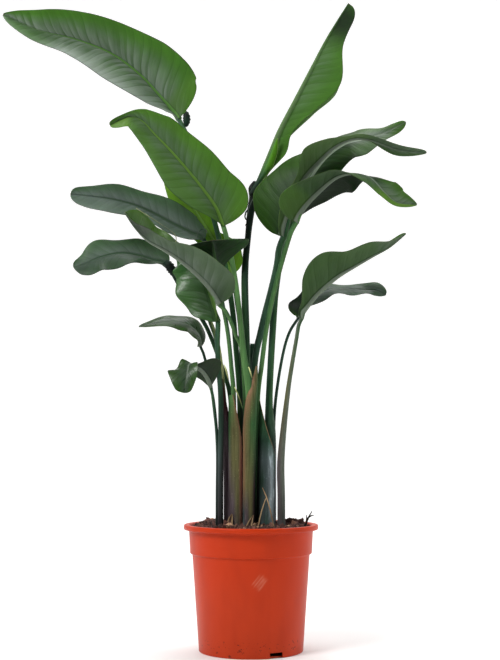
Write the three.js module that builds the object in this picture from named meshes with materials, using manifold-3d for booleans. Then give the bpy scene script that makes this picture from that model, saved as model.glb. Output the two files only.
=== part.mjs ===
// A potted bird of paradise: a nursery pot, its soil and sixteen long-stalked leaves.
// Millimetres, +Z up, the front is toward -Y. The origin is the centre of the pot's underside.
import * as THREE from 'three';
import Module from 'manifold-3d';
import { mergeVertices } from 'three/addons/utils/BufferGeometryUtils.js';

// Driving dimensions of the pot
const POT_HEIGHT = 222;
const RIM_RADIUS = 120;
const LIP_HEIGHT = 9;
const BAND_TOP_RADIUS = 110.8;
const BAND_BOTTOM_RADIUS = 108.6;
const STEP_HEIGHT = 171;
const STEP_DEPTH = 4;
const FOOT_RADIUS = 92.5;
const WALL = 2.2;
const FLOOR = 3;
const DRAIN_COUNT = 6;
const DRAIN_RADIUS = 6;
const DRAIN_CIRCLE = 55;
const NOTCH_COUNT = 2;
const NOTCH_WIDTH = 25;
const NOTCH_HEIGHT = 10;
const NOTCH_DEPTH = 6;
const NOTCH_START = -Math.PI * 62 / 180;
const CORNER = 1.5;
const ROUND_SEGMENTS = 48;
const DRAIN_SEGMENTS = 12;
const SOIL_SEGMENTS = 32;

// Driving dimensions of the soil and the plant
const GAP = 0.3;
const SOIL_LEVEL = 216;
const SOIL_HUMP = 5;
const SOIL_RINGS = [105, 88, 70, 50, 30, 12, 0];
const HEAP_RADIUS = 24;
const ROOT_DEPTH = 20;
const BLADE_THICKNESS = 1.2;
const KEEL_AT_BASE = 5;
const KEEL_AT_TIP = 0.8;
const KEEL_SHARE = 0.07;
const ROUND_BASE_SHARE = 0.07;
const ROUND_TIP_SHARE = 0.07;
const BLUNT_END = 0.12;
const RIPPLE_RATE = 19;
const RIPPLE_SHIFT = 1.3;
const STALK_SIDES = 8;
const SHEATH_FLATNESS = 0.62;
const STALK_FLATNESS = 0.9;
const SHEATH_TOP = 250;
const ROUND_STALK_HEIGHT = 500;
const RINGS_PER_SPAN = 2;
const STRIP_SIDES = 4;
const STRIP_THICKNESS = 1;
const STRIP_TAPER = 0.4;
const TANGENT_STEP = 0.02;

// Heaps of bark that stand above the level soil: middle and height
const HEAPS = [{ x: 74, y: 30, height: 11 }, { x: -66, y: 26, height: 9 }];

// Where a blade is sampled: along its rib, and from the rib out to the margin
const ALONG = [0, 0.025, 0.07, 0.14, 0.22, 0.31, 0.4, 0.5, 0.6, 0.7, 0.79, 0.87, 0.93, 0.975, 1];
const ACROSS = [KEEL_SHARE, 0.52, 1];

const COLOURS = {
  pot: 0xbe4a2c,
  soil: 0x33231b,
  upper: 0x3f6b34,
  shade: 0x2e4a2e,
  grey: 0x55665c,
  stalk: 0x4c6b48,
  sheath: 0x5f4a44,
  dry: 0xa98560,
};

// Each leaf: the way it leans, its stalk from the soil up as [x, y, z, half width],
// and its blade from base to tip as [x, y, z, near half, far half, roll, fold].
// Roll turns the upper face from the sky toward the front, fold lifts both halves into a V.
const LEAVES = {
  top_left: {
    lean: -1,
    colour: 'upper',
    wave: 2,
    stalk: [[-18, 9, 190, 6.3], [-19, 9, 320, 5.8], [-20, 8, 444, 5.4], [-27, 8, 535, 5],
      [-35, 8, 618, 5], [-52, 9, 712, 4.8], [-80, 12, 818, 4.6], [-108, 34, 910, 4.4]],
    blade: [[-136, 52, 973, 5, 62, 88, 33], [-153, 56, 996, 17, 80, 88, 33],
      [-175, 55, 1021, 37, 86, 88, 33], [-209, 48, 1056, 57, 80, 88, 33],
      [-261, 38, 1093, 66, 63, 88, 33], [-327, 27, 1117, 50, 53, 86, 31],
      [-397, 17, 1132, 31, 41, 84, 28], [-461, 12, 1161, 12, 7, 84, 28]],
  },
  upper_left: {
    lean: -1,
    colour: 'upper',
    wave: 2,
    stalk: [[-4, -17, 190, 8.5], [-4, -17, 260, 8.5], [-4, -17, 340, 8.5], [-2, -18, 445, 7.5],
      [-13, -20, 527, 5.5], [-20, -23, 595, 4.6], [-29, -28, 664, 4.4], [-40, -33, 719, 4.4]],
    blade: [[-50, -37, 754, 4, 50, 99, 30], [-62, -43, 786, 26, 75, 99, 30],
      [-84, -50, 817, 45, 67, 99, 30], [-111, -56, 850, 53, 64, 99, 30],
      [-141, -60, 884, 45, 54, 99, 30], [-171, -62, 915, 34, 47, 99, 30],
      [-195, -62, 940, 30, 26, 99, 34], [-219, -56, 948, 22, 11, 99, 38],
      [-254, -46, 936, 12, 9, 99, 40]],
  },
  top_right: {
    lean: 1,
    colour: 'upper',
    wave: 4,
    stalk: [[-5, 28, 190, 6.8], [-5, 27, 290, 6.7], [-6, 27, 390, 6.6], [-8, 28, 541, 7],
      [-11, 32, 671, 6.9], [-5, 36, 748, 6.1], [1, 40, 800, 7.6]],
    blade: [[8, 43, 834, 7, 8, 194, 58], [19, 45, 862, 13, 14, 194, 58], [37, 46, 908, 18, 26, 194, 58],
      [54, 46, 950, 25, 25, 194, 58], [83, 45, 1007, 62, 49, 194, 58], [113, 45, 1066, 81, 63, 194, 58],
      [145, 46, 1128, 49, 39, 194, 58], [185, 47, 1194, 27, 21, 194, 58]],
  },
  middle_left: {
    lean: -1,
    colour: 'grey',
    wave: 3,
    stalk: [[-40, -5, 190, 6.2], [-41, -5, 300, 6], [-45, -4, 390, 4.8], [-58, 6, 531, 4.2],
      [-78, 14, 599, 4], [-88, 18, 658, 4], [-84, 16, 704, 4]],
    blade: [[-86, 12, 738, 9, 11, 78, 24], [-112, 8, 751, 20, 31, 78, 24],
      [-144, 2, 766, 25, 37, 78, 24], [-179, -4, 784, 25, 35, 78, 24], [-211, -10, 797, 28, 29, 78, 24],
      [-252, -14, 807, 34, 28, 78, 22], [-292, -18, 812, 28, 20, 78, 20],
      [-327, -22, 815, 15, 11, 78, 20]],
  },
  low_centre: {
    lean: -1,
    colour: 'upper',
    wave: 3,
    stalk: [[-54, -20, 190, 4.9], [-54, -21, 320, 4.9], [-54, -21, 445, 4.8], [-59, -22, 511, 4.6]],
    blade: [[-62, -22, 583, 22, 13, 130, 33], [-72, -16, 618, 44, 25, 130, 33],
      [-83, -8, 653, 55, 30, 130, 33], [-98, 0, 687, 47, 28, 130, 33], [-115, 6, 710, 38, 20, 125, 33],
      [-135, 10, 720, 15, 10, 120, 33]],
  },
  front_left: {
    lean: -1,
    colour: 'grey',
    wave: 2,
    stalk: [[-10, -2, 190, 4.4], [-9, -1, 290, 4.3], [-9, -1, 390, 4.2], [-15, -2, 521, 4],
      [-27, -14, 560, 3.8], [-41, -32, 594, 3.8]],
    blade: [[-55, -46, 614, 34, 6, -2, 40], [-74, -60, 641, 62, 15, -2, 40],
      [-96, -74, 663, 59, 38, -2, 40], [-124, -88, 685, 45, 42, 0, 40], [-153, -98, 703, 32, 47, 4, 40],
      [-179, -106, 717, 32, 39, 10, 38], [-201, -112, 739, 46, 37, 25, 34],
      [-219, -116, 765, 31, 20, 32, 30]],
  },
  front_middle: {
    lean: -1,
    colour: 'shade',
    wave: 1,
    stalk: [[-29, -16, 190, 4.6], [-30, -16, 320, 4.5], [-31, -15, 445, 4.4], [-35, -16, 499, 4],
      [-41, -18, 559, 3.8]],
    blade: [[-51, -23, 617, 5, 6, -84, 14], [-56, -30, 649, 14, 10, -84, 14],
      [-61, -40, 676, 14, 11, -84, 14], [-65, -54, 700, 44, 23, -82, 6],
      [-67, -66, 714, 63, 43, -80, -1], [-69, -76, 722, 65, 45, -78, -5]],
  },
  small_left: {
    lean: -1,
    colour: 'shade',
    wave: 1,
    stalk: [[-57, 1, 190, 3.3], [-57, 0, 270, 3.1], [-58, 0, 356, 3], [-63, -2, 399, 2.8],
      [-72, -4, 470, 2.6], [-81, -9, 510, 2.6]],
    blade: [[-89, -12, 540, 10, 7, 26, 5], [-94, -14, 560, 25, 26, 26, 5],
      [-111, -18, 576, 38, 33, 26, 5], [-136, -24, 583, 45, 24, 26, 5], [-166, -30, 581, 35, 19, 26, 8],
      [-200, -36, 573, 5, 3, 26, 10]],
  },
  bent_left: {
    lean: -1,
    colour: 'shade',
    wave: 1,
    stalk: [[-60, -12, 190, 3.2], [-60, -12, 270, 3.1], [-60, -12, 356, 3], [-65, -16, 425, 2.8]],
    blade: [[-72, -26, 466, 5, 6, -87, 10], [-83, -38, 489, 37, 15, -81, 10],
      [-97, -52, 501, 12, 27, -57, 8], [-107, -70, 505, 15, 20, 36, 4], [-110, -84, 493, 20, 36, 66, 4],
      [-113, -91, 472, 16, 26, 87, 6], [-114, -93, 453, 9, 14, 93, 8]],
  },
  low_left: {
    lean: -1,
    colour: 'grey',
    wave: 3,
    stalk: [[-30, 4, 190, 6.8], [-31, 5, 280, 6.4], [-33, 6, 380, 6], [-38, 10, 453, 4.4],
      [-53, 19, 504, 4], [-78, 27, 570, 3.8], [-101, 32, 609, 3.8], [-129, 34, 650, 3.8]],
    blade: [[-155, 33, 693, 5, 18, 62, 12], [-181, 30, 702, 11, 30, 62, 12],
      [-208, 25, 710, 20, 32, 62, 12], [-240, 19, 713, 37, 29, 62, 12], [-275, 13, 705, 39, 34, 62, 12],
      [-301, 7, 693, 36, 22, 62, 12], [-323, 2, 684, 17, 8, 62, 12]],
  },
  upper_right: {
    lean: 1,
    colour: 'shade',
    wave: 2,
    stalk: [[-1, 12, 190, 6.2], [2, 11, 340, 6.3], [5, 10, 498, 6.4], [19, 6, 574, 6.6],
      [37, 0, 645, 6.6], [47, -6, 690, 6.4]],
    blade: [[54, -10, 740, 11, 45, 12, 52], [73, -16, 796, 24, 84, 12, 52],
      [94, -20, 840, 24, 62, 12, 50], [121, -26, 871, 51, 46, 5, 40], [150, -33, 898, 38, 35, 5, 28],
      [182, -40, 912, 25, 23, 8, 14], [214, -46, 909, 17, 15, -2, 5], [263, -53, 890, 20, 20, -15, 0],
      [314, -58, 883, 12, 12, -16, 0]],
  },
  front_right: {
    lean: 1,
    colour: 'grey',
    wave: 2,
    stalk: [[7, 1, 190, 4.5], [9, -1, 320, 4.5], [12, -2, 445, 4.4], [19, -6, 505, 4.4],
      [28, -14, 573, 4.4], [43, -26, 644, 4.4], [63, -40, 716, 4.4]],
    blade: [[78, -50, 759, 40, 12, -33, 18], [93, -57, 783, 54, 27, -33, 18],
      [117, -67, 808, 49, 52, -30, 10], [150, -78, 834, 33, 62, -22, -4],
      [180, -86, 840, 24, 44, -4, -22], [209, -92, 831, 24, 28, 30, -10], [232, -97, 805, 14, 34, 62, 0],
      [255, -101, 785, 8, 29, 66, 6], [289, -106, 780, 5, 6, 66, 15]],
  },
  back_right: {
    lean: 1,
    colour: 'upper',
    wave: 2,
    stalk: [[29, 1, 190, 15.6], [29, 2, 300, 16], [34, 8, 380, 11], [33, 17, 446, 6.6],
      [40, 22, 576, 6.2], [48, 28, 665, 6]],
    blade: [[67, 36, 763, 5, 7, 39, -6], [99, 40, 835, 49, 38, 39, -10],
      [134, 42, 889, 52, 52, 39, -10], [172, 42, 920, 50, 59, 39, -10], [207, 40, 930, 45, 61, 39, -8],
      [242, 36, 939, 27, 25, 41, -4], [268, 30, 950, 16, 15, 53, 0], [288, 26, 960, 5, 5, 63, 0]],
  },
  low_right: {
    lean: 1,
    colour: 'shade',
    wave: 3,
    stalk: [[54, -8, 190, 7.2], [54, -8, 270, 6.9], [54, -8, 345, 6.6], [66, -12, 459, 4.6],
      [81, -18, 551, 3.8]],
    blade: [[88, -22, 590, 5, 34, 7, 50], [100, -27, 610, 14, 34, 3, 51],
      [122, -33, 635, 50, 36, -1, 52], [153, -41, 661, 59, 43, -3, 48], [185, -49, 680, 56, 44, 4, 38],
      [216, -57, 697, 47, 38, 7, 32], [246, -63, 713, 35, 24, 9, 26], [274, -68, 736, 6, 3, 9, 24]],
  },
  drooping_right: {
    lean: 1,
    colour: 'shade',
    wave: 3,
    stalk: [[42, 25, 190, 3.3], [42, 24, 310, 3.2], [43, 24, 426, 3], [61, 20, 540, 2.8]],
    blade: [[84, 18, 594, 8, 8, 21, 0], [105, 20, 623, 35, 23, 21, 0], [136, 22, 644, 46, 33, 21, 0],
      [172, 22, 649, 37, 28, 24, 0], [205, 20, 646, 17, 19, 36, 0], [229, 16, 644, 12, 20, 62, 0],
      [246, 14, 635, 3, 7, 62, 0]],
  },
  back_middle: {
    lean: -1,
    colour: 'upper',
    wave: 2,
    stalk: [[-13, 38, 190, 5.2], [-14, 38, 290, 5.1], [-14, 38, 390, 5], [-18, 40, 554, 4.6],
      [-26, 37, 627, 4.4]],
    blade: [[-35, 32, 676, 6, 29, 100, 20], [-54, 34, 712, 19, 42, 100, 20],
      [-76, 37, 752, 30, 17, 100, 20], [-102, 40, 794, 38, 29, 100, 20],
      [-130, 40, 835, 29, 37, 100, 20], [-149, 40, 869, 19, 13, 100, 20]],
  },
};

// What is left of old leaves and bits in the soil: centre points, width and how flat each is
const REMNANTS = {
  cut_stalk: {
    points: [[2, 42, 190], [2, 42, 380], [3, 41, 541]], width: 11, flatness: 0.8, colour: 'sheath',
  },
  dry_fibre_left: {
    points: [[12, -26, 205], [17, -26, 240], [27, -26, 271]], width: 2.4, flatness: 0.5, colour: 'dry',
  },
  dry_fibre_right: {
    points: [[44, -30, 205], [32, -30, 252], [20, -30, 288]], width: 2.4, flatness: 0.5, colour: 'dry',
  },
  dry_scrap_left: {
    points: [[-40, -25, 205], [-38, -26, 222], [-36, -25, 239]], width: 7, flatness: 0.2, colour: 'dry',
  },
  dry_scrap_right: {
    points: [[-8, -33, 205], [-4, -33, 222], [3, -31, 236]], width: 6, flatness: 0.2, colour: 'dry',
  },
  twig: {
    points: [[93, -20, 200], [98, -20, 222], [108, -20, 246]], width: 4, flatness: 0.9, colour: 'soil',
  },
};

const manifoldLibrary = await Module();
manifoldLibrary.setup();

const clamp01 = (t) => Math.min(1, Math.max(0, t));
const radians = THREE.MathUtils.degToRad;

// A closed geometry from points and triangles
function shellGeometry(points, triangles) {
  const geometry = new THREE.BufferGeometry();
  geometry.setAttribute('position', new THREE.Float32BufferAttribute(points.flat(), 3));
  geometry.setIndex(triangles.flat());
  geometry.computeVertexNormals();
  return geometry;
}

function toSolid(geometry) {
  const bare = geometry.clone();
  bare.deleteAttribute('normal');
  bare.deleteAttribute('uv');
  const merged = mergeVertices(bare, 1e-4);
  const vertProperties = new Float32Array(merged.attributes.position.array);
  const triVerts = new Uint32Array(merged.index.array);
  return new manifoldLibrary.Manifold(new manifoldLibrary.Mesh({ numProp: 3, vertProperties, triVerts }));
}

function toGeometry(solid) {
  const mesh = solid.getMesh();
  const geometry = new THREE.BufferGeometry();
  geometry.setAttribute('position', new THREE.Float32BufferAttribute(mesh.vertProperties, 3));
  geometry.setIndex([...mesh.triVerts]);
  geometry.computeVertexNormals();
  return geometry;
}

function meshOf(name, geometry, colour, roughness) {
  const material = new THREE.MeshStandardMaterial({ color: colour, roughness, metalness: 0 });
  const mesh = new THREE.Mesh(geometry, material);
  mesh.name = name;
  return mesh;
}

// Smooth interpolation through rows of numbers, s counted in rows
function along(rows, s) {
  const last = rows.length - 1;
  const index = Math.min(last - 1, Math.max(0, Math.floor(s)));
  const t = s - index;
  const [before, from, to, after] = [-1, 0, 1, 2].map((k) => rows[Math.min(last, Math.max(0, index + k))]);
  return from.map((value, k) => {
    const leaving = (to[k] - before[k]) / 2;
    const arriving = (after[k] - value) / 2;
    const a = 2 * value - 2 * to[k] + leaving + arriving;
    const b = 3 * to[k] - 3 * value - 2 * leaving - arriving;
    return ((a * t + b) * t + leaving) * t + value;
  });
}

const pointOn = (path, s) => new THREE.Vector3(...along(path, s));

function tangentOn(path, s) {
  const ahead = pointOn(path, Math.min(path.length - 1, s + TANGENT_STEP));
  return ahead.sub(pointOn(path, Math.max(0, s - TANGENT_STEP))).normalize();
}

// The centre line of a whole leaf: its stalk, then its rib
const centreLine = (leaf) => [...leaf.stalk, ...leaf.blade].map((row) => row.slice(0, 3));

// The blade's frame at one place: the way to the tip, the upper face and the near side
function bladeFrame(leaf, path, s, roll) {
  const tangent = tangentOn(path, s);
  const raised = new THREE.Vector3().crossVectors(tangent, new THREE.Vector3(0, leaf.lean, 0)).normalize();
  const front = new THREE.Vector3().crossVectors(tangent, raised).multiplyScalar(leaf.lean);
  const angle = radians(roll);
  const face = raised.clone().multiplyScalar(Math.cos(angle)).addScaledVector(front, Math.sin(angle));
  const near = front.clone().multiplyScalar(Math.cos(angle)).addScaledVector(raised, -Math.sin(angle));
  return { tangent, face, near };
}

// A blade is round where it leaves the stalk and at its tip
function roundedEnd(v) {
  const base = clamp01(v / ROUND_BASE_SHARE);
  const tip = clamp01((1 - v) / ROUND_TIP_SHARE);
  return Math.max(BLUNT_END, Math.sqrt(1 - (1 - base) ** 2) * Math.sqrt(1 - (1 - tip) ** 2));
}

// One blade as a closed thin shell with a keel under its rib
function bladeGeometry(leaf) {
  const path = centreLine(leaf);
  const start = leaf.stalk.length;
  const spans = leaf.blade.length - 1;
  const columns = [...ACROSS.map((u) => -u).reverse(), 0, ...ACROSS];
  const grid = ALONG.map((v) => {
    const s = start + v * spans;
    const [, , , nearWidth, farWidth, roll, fold] = along(leaf.blade, v * spans);
    const centre = pointOn(path, s);
    const { face, near } = bladeFrame(leaf, path, s, roll);
    const lift = radians(fold);
    return columns.map((u) => {
      const width = (u < 0 ? farWidth : nearWidth) * roundedEnd(v);
      const reach = Math.abs(u) * Math.max(width, KEEL_AT_BASE / 2);
      const swing = Math.sin(v * RIPPLE_RATE + (u < 0 ? RIPPLE_SHIFT : 0));
      const ripple = leaf.wave * u * u * swing * roundedEnd(v);
      return centre.clone()
        .addScaledVector(near, Math.sign(u) * reach * Math.cos(lift))
        .addScaledVector(face, reach * Math.sin(lift) + ripple);
    });
  });
  const normals = grid.map((row, i) => row.map((point, j) => {
    const alongRib = grid[Math.min(grid.length - 1, i + 1)][j].clone().sub(grid[Math.max(0, i - 1)][j]);
    const acrossRib = row[Math.min(row.length - 1, j + 1)].clone().sub(row[Math.max(0, j - 1)]);
    return acrossRib.cross(alongRib).normalize();
  }));
  const middle = ACROSS.length;
  const points = [];
  for (const side of [1, -1]) {
    grid.forEach((row, i) => row.forEach((point, j) => {
      const below = side === -leaf.lean && j === middle;
      const keel = below ? THREE.MathUtils.lerp(KEEL_AT_BASE, KEEL_AT_TIP, ALONG[i]) : 0;
      const offset = side * (BLADE_THICKNESS / 2 + keel);
      points.push(point.clone().addScaledVector(normals[i][j], offset).toArray());
    }));
  }
  return shellGeometry(points, sheetTriangles(grid.length, columns.length));
}

// Triangles of a sheet with two faces: the same diagonals on both, and a rim round the edge
function sheetTriangles(rows, columns) {
  const triangles = [];
  const under = rows * columns;
  const quad = (a, b, c, d) => triangles.push([a, b, c], [a, c, d]);
  for (let i = 0; i < rows - 1; i += 1) {
    for (let j = 0; j < columns - 1; j += 1) {
      const a = i * columns + j;
      const [b, c, d] = [a + 1, a + columns + 1, a + columns];
      quad(a, b, c, d);
      triangles.push([under + a, under + c, under + b], [under + a, under + d, under + c]);
    }
  }
  const rim = [];
  for (let j = 0; j < columns - 1; j += 1) rim.push(j);
  for (let i = 0; i < rows - 1; i += 1) rim.push(i * columns + columns - 1);
  for (let j = columns - 1; j > 0; j -= 1) rim.push((rows - 1) * columns + j);
  for (let i = rows - 1; i > 0; i -= 1) rim.push(i * columns);
  rim.forEach((from, k) => {
    const to = rim[(k + 1) % rim.length];
    quad(to, from, under + from, under + to);
  });
  return triangles;
}

// A stalk: an oval tube, flatter in its sheath, a little larger where it cuts its hole in the soil
function stalkGeometry(leaf, grow = 0) {
  const path = centreLine(leaf);
  const widths = leaf.stalk.map((row) => [row[3]]);
  const spans = leaf.stalk.length;
  const topWidth = widths[widths.length - 1][0];
  const rows = spans * RINGS_PER_SPAN;
  const bottom = SOIL_LEVEL - ROOT_DEPTH;
  const points = [];
  for (let i = 0; i <= rows; i += 1) {
    const s = (i / rows) * spans;
    const tangent = tangentOn(path, s);
    const centre = pointOn(path, s);
    if (i === rows) centre.addScaledVector(tangent, -GAP);
    const width = s < spans - 1 ? along(widths, s)[0] : topWidth;
    const rise = clamp01((centre.z - SHEATH_TOP) / (ROUND_STALK_HEIGHT - SHEATH_TOP));
    const flat = THREE.MathUtils.lerp(SHEATH_FLATNESS, STALK_FLATNESS, rise);
    const across = new THREE.Vector3(tangent.z, 0, -tangent.x).normalize();
    const deep = new THREE.Vector3().crossVectors(tangent, across).normalize();
    for (let k = 0; k < STALK_SIDES; k += 1) {
      const angle = (k + 0.5) * 2 * Math.PI / STALK_SIDES;
      points.push(centre.clone()
        .addScaledVector(across, (width + grow) * Math.cos(angle))
        .addScaledVector(deep, (width * flat + grow) * Math.sin(angle)).toArray());
    }
  }
  const geometry = shellGeometry(points, tubeTriangles(rows + 1, STALK_SIDES));
  return toGeometry(toSolid(geometry).trimByPlane([0, 0, 1], bottom - grow));
}

function tubeTriangles(rows, sides) {
  const triangles = [];
  for (let i = 0; i < rows - 1; i += 1) {
    for (let k = 0; k < sides; k += 1) {
      const next = (k + 1) % sides;
      const [a, b] = [i * sides + k, i * sides + next];
      triangles.push([a, b, b + sides], [a, b + sides, a + sides]);
    }
  }
  for (let k = 1; k < sides - 1; k += 1) {
    triangles.push([0, k + 1, k]);
    const top = (rows - 1) * sides;
    triangles.push([top, top + k, top + k + 1]);
  }
  return triangles;
}

// The pot: a turned wall with a band under its lip, drain holes and notches round the foot
function potGeometry() {
  const lipBottom = POT_HEIGHT - LIP_HEIGHT;
  const stepBottom = STEP_HEIGHT - STEP_DEPTH / 2;
  const belowStep = BAND_BOTTOM_RADIUS - STEP_DEPTH;
  const profile = [
    [0, 0], [FOOT_RADIUS - CORNER, 0], [FOOT_RADIUS, CORNER], [belowStep, stepBottom],
    [BAND_BOTTOM_RADIUS, STEP_HEIGHT + CORNER], [BAND_TOP_RADIUS, lipBottom],
    [RIM_RADIUS - CORNER, lipBottom], [RIM_RADIUS, lipBottom + CORNER],
    [RIM_RADIUS, POT_HEIGHT - CORNER], [RIM_RADIUS - CORNER, POT_HEIGHT],
    [BAND_TOP_RADIUS - CORNER, POT_HEIGHT], [BAND_TOP_RADIUS - WALL, POT_HEIGHT - 2 * CORNER],
    [BAND_BOTTOM_RADIUS - WALL, STEP_HEIGHT + 2 * CORNER], [belowStep - WALL, stepBottom - CORNER],
    [FOOT_RADIUS - WALL, FLOOR], [0, FLOOR],
  ].map(([r, z]) => new THREE.Vector2(r, z));
  let pot = toSolid(turned(profile, ROUND_SEGMENTS));
  for (let k = 0; k < DRAIN_COUNT; k += 1) {
    const drain = new THREE.CylinderGeometry(DRAIN_RADIUS, DRAIN_RADIUS, 4 * FLOOR, DRAIN_SEGMENTS);
    drain.rotateX(Math.PI / 2).translate(DRAIN_CIRCLE, 0, 0).rotateZ((k / DRAIN_COUNT) * 2 * Math.PI);
    pot = pot.subtract(toSolid(drain));
  }
  for (let k = 0; k < NOTCH_COUNT; k += 1) {
    const notch = new THREE.BoxGeometry(2 * NOTCH_DEPTH, NOTCH_WIDTH, 2 * NOTCH_HEIGHT);
    notch.translate(FOOT_RADIUS, 0, 0).rotateZ(NOTCH_START + (k / NOTCH_COUNT) * 2 * Math.PI);
    pot = pot.subtract(toSolid(notch));
  }
  return toGeometry(pot);
}

function turned(profile, segments) {
  return new THREE.LatheGeometry(profile, segments).rotateX(Math.PI / 2);
}

// The height of the soil's crumbly top at one place
function soilHeight(x, y) {
  const swell = Math.sin(x / 17 + 0.6) * Math.cos(y / 21 - 0.4) + 0.6 * Math.sin((x + 2 * y) / 13);
  const mound = 1 - Math.hypot(x, y) / BAND_TOP_RADIUS;
  const heaped = HEAPS.reduce((sum, heap) => {
    const apart = Math.hypot(x - heap.x, y - heap.y) / HEAP_RADIUS;
    return sum + heap.height * Math.exp(-apart * apart);
  }, 0);
  return SOIL_LEVEL + SOIL_HUMP * (0.6 * swell + mound) + heaped;
}

// The soil fills the pot to below its lip, with a plain hole round each stalk
function soilGeometry(tools) {
  const inset = WALL + 2 * GAP;
  const belowStep = BAND_BOTTOM_RADIUS - STEP_DEPTH;
  const radiusAt = (z) => THREE.MathUtils.mapLinear(z, 0, STEP_HEIGHT, FOOT_RADIUS, belowStep) - inset;
  const shoulder = STEP_HEIGHT - STEP_DEPTH;
  const profile = [
    [0, FLOOR + GAP], [radiusAt(FLOOR) - CORNER, FLOOR + GAP], [radiusAt(shoulder), shoulder],
    [BAND_BOTTOM_RADIUS - inset, STEP_HEIGHT + STEP_DEPTH],
    [BAND_TOP_RADIUS - inset - GAP, SOIL_LEVEL - STEP_DEPTH],
    ...SOIL_RINGS.map((r) => [r, SOIL_LEVEL]),
  ].map(([r, z]) => new THREE.Vector2(r, z));
  const geometry = turned(profile, SOIL_SEGMENTS);
  const position = geometry.attributes.position;
  for (let i = 0; i < position.count; i += 1) {
    const [x, y, z] = [position.getX(i), position.getY(i), position.getZ(i)];
    if (z > SOIL_LEVEL - 1) position.setZ(i, soilHeight(x, y));
  }
  return toGeometry(tools.reduce((soil, tool) => soil.subtract(toSolid(tool)), toSolid(geometry)));
}

// A plain tapering twig or strip through a few points, rooted in the soil
function stripGeometry(points, width, flatness, grow = 0) {
  const rows = (points.length - 1) * RINGS_PER_SPAN;
  const ring = [];
  for (let i = 0; i <= rows; i += 1) {
    const s = (i / rows) * (points.length - 1);
    const centre = pointOn(points, s);
    const tangent = tangentOn(points, s);
    const across = new THREE.Vector3(tangent.z, 0, -tangent.x).normalize();
    const deep = new THREE.Vector3().crossVectors(tangent, across).normalize();
    const half = (width / 2) * THREE.MathUtils.lerp(1, STRIP_TAPER, i / rows) + grow;
    const halfDeep = Math.max(half * flatness, STRIP_THICKNESS / 2 + grow);
    for (let k = 0; k < STRIP_SIDES; k += 1) {
      const angle = (k + 0.5) * 2 * Math.PI / STRIP_SIDES;
      ring.push(centre.clone()
        .addScaledVector(across, half * Math.cos(angle) * Math.SQRT2)
        .addScaledVector(deep, halfDeep * Math.sin(angle) * Math.SQRT2).toArray());
    }
  }
  return shellGeometry(ring, tubeTriangles(rows + 1, STRIP_SIDES));
}

const group = new THREE.Group();
const tools = [];
for (const [name, leaf] of Object.entries(LEAVES)) {
  group.add(meshOf(`stalk_${name}`, stalkGeometry(leaf), COLOURS.stalk, 0.5));
  group.add(meshOf(`blade_${name}`, bladeGeometry(leaf), COLOURS[leaf.colour], 0.4));
  tools.push(stalkGeometry(leaf, GAP));
}
for (const [name, { points, width, flatness, colour }] of Object.entries(REMNANTS)) {
  group.add(meshOf(name, stripGeometry(points, width, flatness), COLOURS[colour], 0.9));
  tools.push(stripGeometry(points, width, flatness, GAP));
}
group.add(meshOf('soil', soilGeometry(tools), COLOURS.soil, 0.95));
group.add(meshOf('pot', potGeometry(), COLOURS.pot, 0.45));

export default group;
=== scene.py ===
"""A potted bird of paradise: leaves, stalks, sheaths, soil and pot in a pale studio."""

import math

import bpy
import numpy as np
from bpy.props import FloatProperty, FloatVectorProperty, IntProperty, PointerProperty
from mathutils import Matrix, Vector


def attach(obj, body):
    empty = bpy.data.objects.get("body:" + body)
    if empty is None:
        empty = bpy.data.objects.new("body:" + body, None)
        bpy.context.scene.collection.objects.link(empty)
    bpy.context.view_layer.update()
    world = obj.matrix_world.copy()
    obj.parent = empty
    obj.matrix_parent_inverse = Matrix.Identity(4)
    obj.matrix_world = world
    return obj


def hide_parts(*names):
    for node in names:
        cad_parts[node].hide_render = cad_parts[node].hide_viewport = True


bl_info = {
    "name": "Potted bird of paradise",
    "version": (1, 0, 0),
    "blender": (4, 5, 0),
    "location": "View3D > Sidebar > Plant",
    "description": "Builds the looks of a potted bird of paradise",
    "category": "Object",
}

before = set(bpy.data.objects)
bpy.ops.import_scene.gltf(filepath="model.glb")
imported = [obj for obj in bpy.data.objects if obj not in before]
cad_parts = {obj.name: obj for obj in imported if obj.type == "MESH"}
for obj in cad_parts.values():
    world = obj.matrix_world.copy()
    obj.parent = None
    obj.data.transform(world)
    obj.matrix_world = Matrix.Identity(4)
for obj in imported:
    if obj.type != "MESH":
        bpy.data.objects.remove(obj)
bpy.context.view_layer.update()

# The rows of the pot, leaves, sheaths and rods are in millimetres, as they are easiest to read
MM = 0.001

# The pot, whose wall is (radius, height) from its underside over the lip to its floor
POT_PROFILE = (
    (0, 0), (90.6, 0), (91.9, 0.5), (92.5, 1.6), (104.45, 167.6), (104.7, 169), (105.3, 169.9),
    (107.6, 170.9), (108.4, 171.6), (108.65, 172.8), (110.6, 209.5), (110.9, 211.6), (111.8, 212.8),
    (113.2, 213.1), (118.2, 213.1), (119.2, 213.5), (119.8, 214.5), (120, 216), (120, 218.8),
    (119.7, 220.6), (118.9, 221.6), (117.6, 222), (112, 222), (110.2, 221.5), (109.1, 220.2),
    (108.6, 218.5), (106.5, 174), (106, 172.4), (103, 169.6), (102.2, 167.5), (90.4, 4.2),
    (89.6, 3.2), (88, 3), (0, 3),
)
POT_SEGMENTS = 192
SHARP_ANGLE = math.radians(40)
FOOT_RADIUS = 92.5 * MM
NOTCH_COUNT = 2
NOTCH_HEIGHT = 10 * MM
NOTCH_WIDTH = 25 * MM
NOTCH_DEPTH = 12 * MM
NOTCH_START = math.radians(-62)
DRAIN_COUNT = 6
DRAIN_RADIUS = 6 * MM
DRAIN_DEPTH = 20 * MM
DRAIN_SIDES = 40
DRAIN_REACH = 55 * MM

# The soil
SOIL_LEVEL = 216 * MM
SOIL_BOTTOM = 175 * MM
SOIL_EDGE = 107 * MM
SOIL_FOOT = 104 * MM
SOIL_RINGS = 34
SMALLEST_CRUMB = 1.2 * MM
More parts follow.
